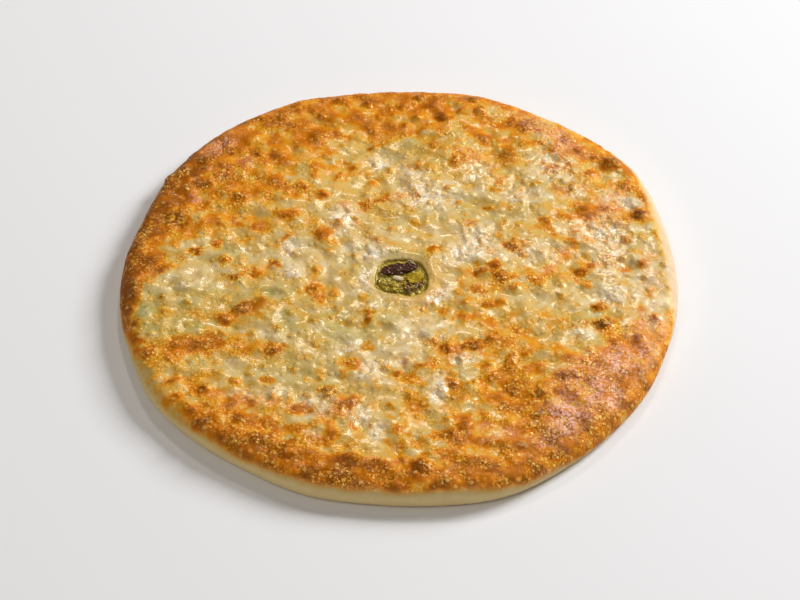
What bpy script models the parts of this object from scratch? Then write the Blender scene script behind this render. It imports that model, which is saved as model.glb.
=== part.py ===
"""A round flat pie, baked whole: one dough disc with a blistered crust, a vent hole in the
middle of its top, and the chopped filling that stands in the hole. Metres, +Z up, the flat
underside on z = 0 and the middle of the pie over the origin."""

import math
import random

import bmesh
import bpy
import numpy as np
from mathutils import Matrix
from mathutils import Vector
from mathutils.geometry import delaunay_2d_cdt

MM = 0.001

# The outline seen from above: a mean radius and a few slow waves (lobes, size, turn).
MEAN_RADIUS = 164.8 * MM
OUTLINE_WAVES = (
    (2, 0.7, 69),
    (3, 1.1, 39),
    (4, 1.8, 34),
    (5, 0.5, -14),
    (7, 0.5, -20),
    (8, 0.5, -15),
    (10, 0.75, 0),
    (18, 0.2, -9),
)

# The edge is one rounded lip: wide and soft above its widest line, tighter below it.
THICKNESS = 14.2 * MM
WIDEST_AT = 6.0 * MM
SHOULDER_WIDTH = 11.0 * MM
FOOT_WIDTH = 6.0 * MM
LIP_SQUARENESS = 2.25

# Slow waves of the top: (size of a wave, height).
SWELLS = ((75 * MM, 0.7 * MM), (30 * MM, 0.5 * MM), (12 * MM, 0.42 * MM))
WAVES_PER_SWELL = 16

# The vent hole is a slightly uneven round hole with a thin edge and a soft ring of dough.
VENT_X = 1.0 * MM
VENT_Y = 0.2 * MM
VENT_RADIUS = 15.5 * MM
VENT_WAVES = ((2, 0.8, -20), (3, 0.6, -44), (4, 0.8, 40), (5, 0.2, -8))
VENT_EDGE = 0.9 * MM
VENT_FLOOR = 3.0 * MM
RING_AT = 4.2 * MM
RING_HEIGHT = 0.7 * MM

# What stands in the vent keeps this far from what is round it.
GAP = 0.3 * MM
FILLING_TOP = 12.6 * MM
FILLING_SIDES = 32

# The three larger pieces that lie on the filling: x, y, half length, half width, half
# height, turn (mm, degrees).
DARK_LEAF = (-0.2, 6.8, 10.8, 4.3, 1.35, 14)
GREEN_LEAF = (8.8, 0.0, 5.0, 3.8, 0.4, 24)
CHEESE = (-1.4, -0.3, 3.5, 1.7, 0.9, -14)

# Main blisters of the crust: x, y, half length, half width, turn, height (mm, degrees).
BLISTERS = (
    (-141, 86, 5, 4, 55, 1.4), (-118, 98, 6, 4.5, 45, 1.3), (-104, 113, 5, 4, 40, 1.2),
    (-130, 72, 4.5, 3.5, 60, 1.1), (-150, 50, 5, 3.5, 70, 1.2), (-154, 29, 5, 4, 80, 1.3),
    (-148, 8, 4.5, 3.5, 90, 0.8), (-110, 85, 4, 3.5, 30, 1.0), (-94, 94, 5, 4, 70, 1.1),
    (-72, 134, 4.5, 3.5, 30, 1.1), (-52, 115, 5, 8, 0, 0.7), (-36, 150, 6, 4, 10, 1.8),
    (-20, 146, 4, 3.5, 0, 1.3), (-16, 123, 3.5, 3, 0, 0.9), (-16, 109, 4, 3.5, 20, 1.1),
    (-75, 102, 4.5, 3, 0, 0.8), (-95, 66, 6, 4, 10, 1.1), (-75, 78, 5, 3.5, 5, 1.0),
    (-59, 74, 5.5, 3.5, -20, 1.1), (-45, 67, 5, 3.5, -15, 1.2), (-67, 51, 6.5, 3.5, -5, 1.0),
    (-36, 84, 4.5, 2.8, 30, 0.8), (-27, 92, 4, 2.6, 15, 0.8), (-17, 78, 3.5, 2.8, 0, 0.8),
    (-11, 65, 4.5, 3.2, 20, 1.2), (-21, 60, 3.8, 3.2, 60, 1.0), (-45, 34, 5.5, 6.5, 30, 1.8),
    (-120, 22, 5, 3, 25, 1.0), (-109, 29, 4.5, 3.2, 15, 1.0), (-85, 42, 5, 3, 0, 0.8),
    (-67, 33, 4, 3.2, 40, 0.9), (-74, 11, 5, 4.2, 0, 1.4), (-95, 1, 5.5, 3.5, 20, 1.1),
    (-84, 4, 4, 3.2, 30, 0.9), (-13, 30, 3.5, 3.2, 0, 0.9), (-34, 60, 3.2, 3, 0, 0.8),
    (44, 150, 5, 3.5, -30, 2.0), (12, 152, 5, 3, 0, 1.5), (1, 144, 4, 3.5, 0, 1.0),
    (49, 141, 4.5, 3.5, -30, 1.2), (27, 134, 6, 4, 0, 1.3), (75, 127, 4.5, 6.5, 40, 1.4),
    (64, 101, 5, 7.5, 0, 0.7), (51, 117, 4, 6, 0, 0.9), (33, 95, 4, 5, 0, 1.2),
    (100, 114, 4, 3.5, 0, 1.1), (109, 106, 4.5, 3.5, 0, 1.2), (118, 101, 3.5, 3, 0, 1.1),
    (128, 96, 7.5, 6.5, 20, 2.3), (114, 87, 4.5, 4, 0, 1.2), (135, 77, 4.5, 3.5, 0, 1.3),
    (146, 67, 4, 5, 20, 1.3), (143, 51, 6.5, 6, 0, 2.4), (123, 57, 6.5, 4, -10, 1.3),
    (108, 57, 5.5, 3.5, 10, 1.1), (57, 72, 4, 3.2, 0, 0.9), (97, 50, 3.5, 3, 0, 0.9),
    (87, 46, 4.5, 3.2, 30, 1.1), (43, 45, 4, 3.2, 0, 1.0), (53, 58, 3.5, 3, 0, 0.9),
    (66, 25, 5, 4.2, 0, 1.4), (20, 23, 3.4, 4, 0, 1.1), (100, 29, 5, 3, -20, 1.0),
    (133, 31, 3.8, 3.4, 0, 1.0), (152, 34, 3, 5.5, 0, 1.0), (142, 11, 4.5, 4, 0, 1.1),
    (47, 5, 4.5, 3.8, 20, 1.2), (56, 9, 4.5, 3.4, 0, 1.2), (60, -1, 4.5, 3.4, 0, 1.1),
    (106, 5, 4.5, 3.8, 30, 1.2), (113, 9, 4, 3.2, 0, 1.0), (45, -9, 4, 3.4, 0, 0.9),
    (-155, -12, 4.5, 5, 0, 1.5), (-152, -49, 4.5, 3.5, 0, 1.2), (-143, -59, 5, 3.5, 20, 1.1),
    (-92, -25, 6.5, 4, 30, 1.6), (-102, -33, 5, 3.5, 20, 1.2), (-50, -8, 5, 3.5, 10, 1.2),
    (-48, -17, 4.5, 3, 0, 0.9), (-73, -57, 6, 4, 10, 1.5), (-112, -52, 9, 4.5, 0, 0.9),
    (-129, -54, 6.5, 3.5, 10, 0.9), (-75, -80, 4, 3, 0, 1.0), (-28, -68, 5, 4, 0, 1.2),
    (-18, -31, 3, 6, 10, 1.3), (-41, -89, 4, 5.5, -30, 1.2), (-30, -98, 3, 8, -45, 1.3),
    (-57, -100, 4.5, 3.2, 20, 1.0), (-111, -87, 4, 3.4, 0, 1.1), (-112, -112, 6.5, 4, 10, 1.2),
    (-80, -124, 9, 4.5, 0, 1.1), (-65, -135, 7, 4, 0, 0.9), (-30, -140, 10, 5.5, 10, 1.0),
    (-128, -80, 5, 3.5, 30, 1.1), (118, -37, 6, 5.5, 0, 2.3), (115, -23, 4.5, 3.5, 0, 1.4),
    (108, -6, 3.5, 3, 0, 1.0), (67, -8, 3.4, 3, 0, 1.0), (50, -21, 5, 3.8, 0, 1.0),
    (37, -31, 5, 4.5, 20, 1.0), (41, -54, 7, 3.6, 10, 1.6), (27, -57, 5, 3.5, 0, 1.4),
    (30, -83, 4.2, 3.6, 0, 1.5), (12, -70, 4.5, 3.6, 0, 1.0), (64, -64, 4, 6.5, -30, 1.0),
    (66, -89, 5, 4, 0, 1.1), (76, -97, 4.5, 4, 0, 1.0), (36, -114, 5.5, 4, 20, 1.2),
    (57, -128, 5, 3.4, 0, 1.1), (77, -129, 5.5, 3.6, 20, 1.1), (12, -144, 5.5, 7.5, 0, 1.5),
    (-3, -158, 6, 4, 0, 1.2), (42, -142, 7, 4, 0, 1.0), (100, -76, 5, 3.4, 0, 1.1),
    (138, -47, 4, 3.5, 0, 1.0), (148, -32, 3.5, 4, 0, 1.1), (108, -110, 6, 4, 30, 0.9),
)

# Small blisters, scattered: how many, their least and greatest radius, and their height.
SMALL_BLISTERS = 190
SMALL_LEAST = 2.0 * MM
SMALL_MOST = 3.4 * MM
SMALL_HEIGHT = 1.0 * MM
SMALL_SEED = 11

# Folds that the dough makes as it is gathered to the vent: x, y, half length, half width,
# turn, height (mm, degrees).
FOLDS = (
    (20, -17, 13, 2.2, 48, 0.9),
    (-14, -30, 10, 2.0, 66, 0.9),
    (-25, -84, 16, 2.4, 40, 0.9),
    (-33, 46, 11, 4.0, 55, 1.3),
    (-66, 25, 9, 3.0, 110, 1.1),
    (24, -88, 12, 4.5, 80, 1.4),
    (36, -64, 8, 5.0, 70, 1.3),
    (42, 19, 12, 6.0, 20, 0.9),
    (-25, -105, 9, 5.0, 80, 1.0),
)

# How finely the crust is cut into triangles.
GRID_STEP = 7.4 * MM
EDGE_POINTS = 156
EDGE_ROWS = (0.0, 0.22, 0.42, 0.60, 0.80, 1.0)
VENT_POINTS = 36

# Colours of the sub-parts, linear.
DOUGH_COLOUR = (0.60, 0.34, 0.10, 1.0)
FILLING_COLOUR = (0.20, 0.17, 0.025, 1.0)
DARK_COLOUR = (0.035, 0.014, 0.012, 1.0)
LEAF_COLOUR = (0.30, 0.27, 0.025, 1.0)
CHEESE_COLOUR = (0.70, 0.62, 0.42, 1.0)


def clear_scene():
    for item in list(bpy.data.objects):
        bpy.data.objects.remove(item, do_unlink=True)


def material(name, colour, roughness, coat):
    made = bpy.data.materials.new(name)
    made.use_nodes = True
    shader = made.node_tree.nodes["Principled BSDF"]
    shader.inputs["Base Color"].default_value = colour
    shader.inputs["Roughness"].default_value = roughness
    shader.inputs["Coat Weight"].default_value = coat
    made.diffuse_color = colour
    return made


def add_mesh(name, points, faces, look, smooth=True):
    mesh = bpy.data.meshes.new(name)
    mesh.from_pydata([tuple(p) for p in points], [], [tuple(f) for f in faces])
    mesh.validate()
    body = bmesh.new()
    body.from_mesh(mesh)
    bmesh.ops.recalc_face_normals(body, faces=body.faces)
    body.to_mesh(mesh)
    body.free()
    if smooth:
        mesh.shade_smooth()
    mesh.materials.append(look)
    thing = bpy.data.objects.new(name, mesh)
    bpy.context.scene.collection.objects.link(thing)
    return thing


def waved_radius(angle, mean, waves):
    """Distance from the middle to a round outline, at an angle in radians."""
    radius = np.full_like(np.asarray(angle, float), mean)
    for lobes, size, turn in waves:
        radius = radius + size * MM * np.cos(lobes * (angle - math.radians(turn)))
    return radius


def swell(x, y, size, seed):
    """A smooth random height of about -1 to 1, from plane waves of about this size."""
    dice = random.Random(seed)
    total = np.zeros_like(x)
    for _ in range(WAVES_PER_SWELL):
        heading = dice.uniform(0, 2 * math.pi)
        turns = 2 * math.pi / (size * dice.uniform(0.75, 1.5))
        phase = dice.uniform(0, 2 * math.pi)
        total += np.cos((x * math.cos(heading) + y * math.sin(heading)) * turns + phase)
    return total / math.sqrt(WAVES_PER_SWELL)


def lip_table():
    """Round the edge from the top to the underside: path length, place out from the start
    of the shoulder, and height."""
    angles = np.linspace(math.pi / 2, -math.pi / 2, 241)
    power = 2 / LIP_SQUARENESS
    across = np.abs(np.cos(angles)) ** power
    upright = np.abs(np.sin(angles)) ** power
    above = angles >= 0
    width = np.where(above, SHOULDER_WIDTH, FOOT_WIDTH)
    out = SHOULDER_WIDTH - width * (1 - across)
    height = WIDEST_AT + np.where(above, (THICKNESS - WIDEST_AT) * upright, -WIDEST_AT * upright)
    steps = np.hypot(np.diff(out), np.diff(height))
    return np.concatenate([[0.0], np.cumsum(steps)]), out, height


LIP_PATH, LIP_OUT, LIP_HEIGHT = lip_table()
LIP_LENGTH = float(LIP_PATH[-1])


def small_blisters():
    dice = random.Random(SMALL_SEED)
    found = []
    tries = 0
    while len(found) < SMALL_BLISTERS and tries < 6000:
        tries += 1
        reach = (MEAN_RADIUS - 6 * MM) * math.sqrt(dice.random())
        angle = dice.uniform(0, 2 * math.pi)
        size = dice.uniform(SMALL_LEAST, SMALL_MOST)
        longer = dice.uniform(1.0, 1.35)
        turn = dice.uniform(0, 180)
        x = reach * math.cos(angle)
        y = reach * math.sin(angle)
        if math.hypot(x - VENT_X, y - VENT_Y) < VENT_RADIUS + 7 * MM:
            continue
        crowded = False
        for other in found:
            if math.hypot(x - other[0], y - other[1]) < size + other[2] + 1.5 * MM:
                crowded = True
        for bx, by, long, wide, *_ in BLISTERS:
            if math.hypot(x - bx * MM, y - by * MM) < size + max(long, wide) * MM + 1 * MM:
                crowded = True
        if not crowded:
            height = SMALL_HEIGHT * dice.uniform(0.6, 1.2)
            found.append((x, y, size * longer, size, turn, height))
    return found


def all_blisters():
    main = [(x * MM, y * MM, a * MM, b * MM, turn, h * MM) for x, y, a, b, turn, h in BLISTERS]
    return main + small_blisters()


def across_oval(x, y, oval):
    """How far out a place is in an oval: 0 at its middle, 1 at its edge."""
    ox, oy, long, wide, turn = oval[:5]
    cos = math.cos(math.radians(turn))
    sin = math.sin(math.radians(turn))
    dx = x - ox
    dy = y - oy
    return np.hypot((dx * cos + dy * sin) / long, (dy * cos - dx * sin) / wide)


def relief(x, y, blisters):
    """Height of the crust over its plain form, at places of the top laid flat."""
    height = np.zeros_like(x)
    for index, (size, tall) in enumerate(SWELLS):
        height += tall * swell(x, y, size, 100 + index)
    angle = np.arctan2(y, x)
    to_edge = waved_radius(angle, MEAN_RADIUS, OUTLINE_WAVES) - SHOULDER_WIDTH - np.hypot(x, y)
    height *= np.clip(1.0 + to_edge / (14 * MM), 0.0, 1.0)
    for fold in FOLDS:
        fold_m = [value * MM for value in fold[:4]] + [fold[4]]
        out = across_oval(x, y, fold_m)
        height += fold[5] * MM * np.clip(1 - out**2, 0, 1) ** 2
    domes = np.zeros_like(x)
    for blister in blisters:
        out = across_oval(x, y, blister)
        domes = np.maximum(domes, blister[5] * np.clip(1 - out**2, 0, 1) ** 1.3)
    vx = x - VENT_X
    vy = y - VENT_Y
    vent = waved_radius(np.arctan2(vy, vx), VENT_RADIUS, VENT_WAVES)
    off = np.hypot(vx, vy) - vent
    one_sided = 0.65 + 0.35 * np.cos(np.arctan2(vy, vx))
    ring = np.exp(-(((off - RING_AT) / (2.2 * MM)) ** 2)) * one_sided
    calm = np.clip(off / (8 * MM), 0, 1)
    return (height + domes) * calm + RING_HEIGHT * ring


def lay_on_form(x, y, blisters):
    """Takes places of the top laid flat to the pie's surface, relief and all."""
    angle = np.arctan2(y, x)
    reach = np.hypot(x, y)
    start = waved_radius(angle, MEAN_RADIUS, OUTLINE_WAVES) - SHOULDER_WIDTH
    past = np.clip(reach - start, 0, LIP_LENGTH)
    out = np.where(reach > start, start + np.interp(past, LIP_PATH, LIP_OUT), reach)
    height = np.interp(past, LIP_PATH, LIP_HEIGHT)
    step = 0.2 * MM
    rise = np.interp(past + step, LIP_PATH, LIP_HEIGHT) - np.interp(past - step, LIP_PATH, LIP_HEIGHT)
    run = np.interp(past + step, LIP_PATH, LIP_OUT) - np.interp(past - step, LIP_PATH, LIP_OUT)
    run = np.where(past > 0, run, 1.0)
    rise = np.where(past > 0, rise, 0.0)
    length = np.hypot(run, rise)
    bump = relief(x, y, blisters) * np.clip((LIP_LENGTH - past) / (8 * MM), 0, 1)
    out = out - rise / length * bump
    height = height + run / length * bump
    return np.stack([out * np.cos(angle), out * np.sin(angle), height], axis=1)


def grid_points(blisters):
    """Places of the flat layout: a plain grid, closer set on the blisters."""
    rows = []
    step_y = GRID_STEP * math.sqrt(3) / 2
    count = int(MEAN_RADIUS / step_y) + 1
    for row in range(-count, count + 1):
        shift = 0.5 * GRID_STEP * (row % 2)
        for column in range(-count, count + 1):
            rows.append((column * GRID_STEP + shift, row * step_y))
    points = np.array(rows)
    start = waved_radius(np.arctan2(points[:, 1], points[:, 0]), MEAN_RADIUS, OUTLINE_WAVES)
    inside = np.hypot(points[:, 0], points[:, 1]) < start - SHOULDER_WIDTH - 3.4 * MM
    off = np.hypot(points[:, 0] - VENT_X, points[:, 1] - VENT_Y)
    points = points[inside & (off > VENT_RADIUS + 9 * MM)]
    extra = []
    for blister in blisters:
        keep = across_oval(points[:, 0], points[:, 1], blister) > 1.25
        points = points[keep]
        x, y, long, wide, turn, _ = blister
        rings = ((0.0, 1), (1.0, 7)) if long < 3.4 * MM else ((0.0, 1), (0.58, 6), (1.05, 8))
        for scale, number in rings:
            for index in range(number):
                a = 2 * math.pi * (index + 0.5 * (scale > 0.9)) / number
                place = Vector((long * scale * math.cos(a), wide * scale * math.sin(a)))
                place.rotate(Matrix.Rotation(math.radians(turn), 2))
                extra.append((x + place.x, y + place.y))
    merged = list(map(tuple, points)) + extra
    merged = np.array(merged)
    start = waved_radius(np.arctan2(merged[:, 1], merged[:, 0]), MEAN_RADIUS, OUTLINE_WAVES)
    inside = np.hypot(merged[:, 0], merged[:, 1]) < start - SHOULDER_WIDTH - 1.6 * MM
    return thinned(merged[inside], 1.5 * MM)


def thinned(points, least):
    """Drops a point that stands too near one kept before it."""
    cells = {}
    kept = []
    for x, y in points:
        cell = (int(x // least), int(y // least))
        near = False
        for dx in (-1, 0, 1):
            for dy in (-1, 0, 1):
                for px, py in cells.get((cell[0] + dx, cell[1] + dy), ()):
                    if math.hypot(px - x, py - y) < least:
                        near = True
        if not near:
            cells.setdefault(cell, []).append((x, y))
            kept.append((x, y))
    return kept


def crust_mesh(look):
    blisters = all_blisters()
    points = grid_points(blisters)
    turns = np.arange(EDGE_POINTS) * (2 * math.pi / EDGE_POINTS)
    start = waved_radius(turns, MEAN_RADIUS, OUTLINE_WAVES) - SHOULDER_WIDTH
    for row in EDGE_ROWS[:-1]:
        reach = start + row * LIP_LENGTH
        points += list(zip(reach * np.cos(turns), reach * np.sin(turns)))
    around = np.arange(VENT_POINTS) * (2 * math.pi / VENT_POINTS)
    vent = waved_radius(around, VENT_RADIUS, VENT_WAVES)
    for further in (RING_AT + 2.4 * MM, RING_AT, 2.0 * MM):
        reach = vent + further
        points += list(zip(VENT_X + reach * np.cos(around), VENT_Y + reach * np.sin(around)))
    edge_first = len(points)
    reach = start + LIP_LENGTH
    points += list(zip(reach * np.cos(turns), reach * np.sin(turns)))
    vent_first = len(points)
    reach = vent + VENT_EDGE
    points += list(zip(VENT_X + reach * np.cos(around), VENT_Y + reach * np.sin(around)))
    edges = [(edge_first + i, edge_first + (i + 1) % EDGE_POINTS) for i in range(EDGE_POINTS)]
    edges += [(vent_first + i, vent_first + (i + 1) % VENT_POINTS) for i in range(VENT_POINTS)]
    laid, _, faces, _, _, _ = delaunay_2d_cdt([Vector(p) for p in points], edges, [], 0, 1e-7)
    if len(laid) != len(points):
        raise ValueError("the flat layout of the crust holds doubled points")
    faces = [
        face
        for face in faces
        if min(face) < edge_first or max(face) >= vent_first > min(face)
    ]
    flat = np.array(points)
    body = list(lay_on_form(flat[:, 0], flat[:, 1], blisters))

    # Down the wall of the vent to its floor.
    lip = np.array(body[vent_first:])
    rows = [list(range(vent_first, vent_first + VENT_POINTS))]
    for inward, height in ((VENT_EDGE * 0.75, None), (VENT_EDGE, None), (VENT_EDGE, VENT_FLOOR)):
        reach = vent + VENT_EDGE - inward
        ring_x = VENT_X + reach * np.cos(around)
        ring_y = VENT_Y + reach * np.sin(around)
        drop = VENT_EDGE * (1 - math.sqrt(max(0.0, 1 - (inward / VENT_EDGE) ** 2)))
        ring_z = lip[:, 2] - drop if height is None else np.full_like(ring_x, height)
        rows.append(list(range(len(body), len(body) + VENT_POINTS)))
        body += list(np.stack([ring_x, ring_y, ring_z], axis=1))
    for upper, lower in zip(rows, rows[1:]):
        for i in range(VENT_POINTS):
            j = (i + 1) % VENT_POINTS
            faces.append((upper[i], lower[i], lower[j]))
            faces.append((upper[i], lower[j], upper[j]))
    middle = len(body)
    body.append(np.array([VENT_X, VENT_Y, VENT_FLOOR]))
    for i in range(VENT_POINTS):
        faces.append((rows[-1][i], middle, rows[-1][(i + 1) % VENT_POINTS]))

    # The flat underside.
    bottom = len(body)
    body.append(np.array([0.0, 0.0, 0.0]))
    for i in range(EDGE_POINTS):
        faces.append((edge_first + (i + 1) % EDGE_POINTS, bottom, edge_first + i))
    return add_mesh("crust", body, faces, look)


def lump(size, turn, seed, rough=0.16, rounds=1):
    """A rough rounded lump of these half sizes, as (points, faces)."""
    body = bmesh.new()
    bmesh.ops.create_icosphere(body, subdivisions=rounds, radius=1.0)
    dice = random.Random(seed)
    for vertex in body.verts:
        vertex.co *= 1 + dice.uniform(-rough, rough)
        vertex.co = Vector([vertex.co[axis] * size[axis] for axis in range(3)])
    bmesh.ops.rotate(body, verts=body.verts, matrix=Matrix.Rotation(math.radians(turn), 3, "Z"))
    body.verts.index_update()
    points = [vertex.co.copy() for vertex in body.verts]
    faces = [[vertex.index for vertex in face.verts] for face in body.faces]
    body.free()
    return points, faces


def filling_core(look):
    """The plug of chopped filling that fills the vent up to its showing surface."""
    sides = FILLING_SIDES
    turns = [2 * math.pi * i / sides for i in range(sides)]
    outer = waved_radius(np.array(turns), VENT_RADIUS, VENT_WAVES) - GAP
    rings = (
        (1.0, VENT_FLOOR + GAP, 0.0),
        (1.0, FILLING_TOP - 0.1 * MM, 0.25 * MM),
        (0.66, FILLING_TOP, 0.25 * MM),
        (0.33, FILLING_TOP, 0.25 * MM),
    )
    points = []
    faces = []
    for scale, height, wobble in rings:
        for turn, radius in zip(turns, outer):
            x = VENT_X + scale * radius * math.cos(turn)
            y = VENT_Y + scale * radius * math.sin(turn)
            points.append((x, y, height + wobble * math.sin(5 * turn + 9 * scale)))
    for row in range(len(rings) - 1):
        for i in range(sides):
            a = row * sides + i
            b = row * sides + (i + 1) % sides
            faces.append((a, b, b + sides))
            faces.append((a, b + sides, a + sides))
    low_middle = len(points)
    points.append((VENT_X, VENT_Y, VENT_FLOOR + GAP))
    points.append((VENT_X, VENT_Y, FILLING_TOP))
    last = (len(rings) - 1) * sides
    for i in range(sides):
        j = (i + 1) % sides
        faces.append((j, i, low_middle))
        faces.append((last + i, last + j, low_middle + 1))
    return add_mesh("filling", points, faces, look)


# Pieces of the filling that stand out of it, all fused to it: x, y, the middle's height over
# the filling's top, half sizes, turn (mm, degrees).
FILLING_PIECES = (
    (-7.8, 8.4, 0.2, 2.6, 1.8, 1.0, 35),
    (-10.9, 5.2, 0.1, 1.8, 1.4, 0.9, 60),
    (-4.6, 11.2, 0.1, 2.2, 1.4, 0.9, 20),
    (-9.4, -4.4, 0.8, 3.4, 1.9, 1.3, -25),
    (-3.9, -5.8, 0.9, 3.2, 1.9, 1.4, -20),
    (-11.4, -1.6, 0.3, 1.9, 1.6, 1.1, 10),
    (-8.6, -7.8, 0.5, 2.6, 1.6, 1.1, -30),
    (-4.2, -9.4, 0.6, 2.8, 1.7, 1.2, 10),
    (0.2, -10.4, 0.3, 2.4, 1.5, 1.0, -10),
    (4.4, -8.6, 0.5, 2.1, 1.8, 1.3, 0),
    (8.2, -7.8, 0.6, 2.3, 1.8, 1.3, 30),
    (12.0, -6.4, 0.3, 1.9, 1.6, 1.1, 50),
    (6.2, -12.2, 0.2, 2.3, 1.5, 1.0, 10),
    (9.8, -10.4, 0.2, 2.0, 1.5, 1.0, -30),
    (2.2, -5.6, 0.3, 1.6, 1.3, 1.0, 0),
    (14.0, -2.6, 0.1, 1.4, 1.8, 0.9, 0),
)


def fused_filling(look):
    core = filling_core(look)
    pieces = bpy.data.collections.new("filling pieces")
    bpy.context.scene.collection.children.link(pieces)
    for index, (x, y, lift, a, b, c, turn) in enumerate(FILLING_PIECES):
        points, faces = lump((a * MM, b * MM, c * MM), turn, 40 + index)
        place = Vector((x * MM, y * MM, FILLING_TOP + lift * MM))
        moved = [p + place for p in points]
        piece = add_mesh("piece_%02d" % index, moved, faces, look)
        bpy.context.scene.collection.objects.unlink(piece)
        pieces.objects.link(piece)
    union = core.modifiers.new("fuse", "BOOLEAN")
    union.operation = "UNION"
    union.operand_type = "COLLECTION"
    union.collection = pieces
    union.solver = "EXACT"
    union.use_self = True
    apply_modifiers(core)
    for piece in list(pieces.objects):
        bpy.data.objects.remove(piece, do_unlink=True)
    bpy.data.collections.remove(pieces)
    return core


def apply_modifiers(thing):
    graph = bpy.context.evaluated_depsgraph_get()
    mesh = bpy.data.meshes.new_from_object(thing.evaluated_get(graph))
    thing.modifiers.clear()
    thing.data = mesh


def dark_piece(look):
    """A wilted dark leaf, folded into a long glossy lump."""
    x, y, long, wide, tall, turn = DARK_LEAF
    points, faces = lump((long * MM, wide * MM, tall * MM), turn, 71, rough=0.10, rounds=3)
    flat_x = np.array([p.x for p in points])
    flat_y = np.array([p.y for p in points])
    ridge = 0.35 * MM * swell(flat_x, flat_y, 4.5 * MM, 72)
    shaped = []
    for p, r in zip(points, ridge):
        lift = 0.4 * MM + r if p.z > 0.3 * MM else 0.0
        shaped.append((p.x + x * MM, p.y + y * MM, p.z + lift + THICKNESS))
    return add_mesh("dark_piece", shaped, faces, look)


def leaf_piece(look):
    """A thin wavy piece of yellow-green leaf."""
    x, y, long, wide, thick, turn = GREEN_LEAF
    columns, lines = 12, 9
    tops = []
    for i in range(columns + 1):
        for j in range(lines + 1):
            u = 2 * i / columns - 1
            v = 2 * j / lines - 1
            round_x = u * math.sqrt(1 - v * v / 2.6)
            round_y = v * math.sqrt(1 - u * u / 2.3)
            wave = 0.35 * math.sin(2.4 * u + 1.1 * v) + 0.22 * math.sin(4.6 * v - 1.4 * u)
            tops.append((round_x * long, round_y * wide, wave))
    count = len(tops)
    points = [(px, py, pz + thick) for px, py, pz in tops]
    points += [(px, py, pz - thick) for px, py, pz in tops]
    faces = []
    for i in range(columns):
        for j in range(lines):
            a = i * (lines + 1) + j
            b = a + lines + 1
            faces.append((a, b, b + 1, a + 1))
            faces.append((count + a, count + a + 1, count + b + 1, count + b))
    border = [i * (lines + 1) for i in range(columns + 1)]
    border += [columns * (lines + 1) + j for j in range(1, lines + 1)]
    border += [i * (lines + 1) + lines for i in range(columns - 1, -1, -1)]
    border += [j for j in range(lines - 1, 0, -1)]
    for a, b in zip(border, border[1:] + border[:1]):
        faces.append((a, count + a, count + b, b))
    put = Matrix.Translation((x * MM, y * MM, THICKNESS))
    put = put @ Matrix.Rotation(math.radians(turn), 4, "Z") @ Matrix.Scale(MM, 4)
    placed = [put @ Vector(p) for p in points]
    return add_mesh("leaf_piece", placed, faces, look)


def cheese_piece(look):
    """A crumb of soft cheese."""
    x, y, long, wide, tall, turn = CHEESE
    points, faces = lump((long * MM, wide * MM, tall * MM), turn, 83, rough=0.10, rounds=2)
    shaped = [(p.x + x * MM, p.y + y * MM, p.z + THICKNESS) for p in points]
    return add_mesh("cheese_piece", shaped, faces, look)


def settle(piece, below, gap):
    """Lowers a piece until its lowest place stands a gap over what is below it."""
    least = None
    inverse = below.matrix_world.inverted()
    for vertex in piece.data.vertices:
        start = inverse @ Vector((vertex.co.x, vertex.co.y, 0.03))
        hit, place, _, _ = below.ray_cast(start, Vector((0, 0, -1)))
        if hit:
            space = vertex.co.z - place.z
            least = space if least is None else min(least, space)
    drop = least - gap
    for vertex in piece.data.vertices:
        vertex.co.z -= drop


def build():
    clear_scene()
    crust_mesh(material("baked dough", DOUGH_COLOUR, 0.42, 0.35))
    filling = fused_filling(material("chopped filling", FILLING_COLOUR, 0.45, 0.2))
    dark = dark_piece(material("dark leaf", DARK_COLOUR, 0.25, 0.5))
    leaf = leaf_piece(material("green leaf", LEAF_COLOUR, 0.35, 0.3))
    cheese = cheese_piece(material("cheese", CHEESE_COLOUR, 0.45, 0.2))
    bpy.context.view_layer.update()
    for piece in (dark, leaf, cheese):
        settle(piece, filling, GAP)


build()
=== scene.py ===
"""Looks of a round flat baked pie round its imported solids: a blistered, buttered crust, the
vent hole in its middle and the chopped greens and cheese that show in it. Metres, +Z up."""

import math
import random

import bmesh
import bpy
import numpy as np
from mathutils import Matrix
from mathutils import Vector


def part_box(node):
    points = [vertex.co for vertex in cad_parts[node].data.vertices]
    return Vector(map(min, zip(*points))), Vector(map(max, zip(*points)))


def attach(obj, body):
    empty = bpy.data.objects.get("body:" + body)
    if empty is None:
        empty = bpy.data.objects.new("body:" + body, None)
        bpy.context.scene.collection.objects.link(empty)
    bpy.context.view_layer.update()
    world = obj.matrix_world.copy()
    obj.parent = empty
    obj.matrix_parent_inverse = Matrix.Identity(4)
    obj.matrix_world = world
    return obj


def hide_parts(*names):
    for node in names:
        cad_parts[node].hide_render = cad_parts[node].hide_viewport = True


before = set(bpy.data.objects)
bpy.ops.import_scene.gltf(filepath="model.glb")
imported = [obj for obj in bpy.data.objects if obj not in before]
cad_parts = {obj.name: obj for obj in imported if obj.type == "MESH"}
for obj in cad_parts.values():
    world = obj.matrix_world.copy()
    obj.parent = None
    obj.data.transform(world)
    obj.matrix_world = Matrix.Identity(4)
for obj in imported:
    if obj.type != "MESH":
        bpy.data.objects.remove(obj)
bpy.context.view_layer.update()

MM = 0.001

# ---------------------------------------------------------------- form, as in the part
# The outline seen from above: a mean radius and a few slow waves (lobes, size, turn).
MEAN_RADIUS = 164.8 * MM
OUTLINE_WAVES = (
    (2, 0.7, 69),
    (3, 1.1, 39),
    (4, 1.8, 34),
    (5, 0.5, -14),
    (7, 0.5, -20),
    (8, 0.5, -15),
    (10, 0.75, 0),
    (18, 0.2, -9),
)

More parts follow.
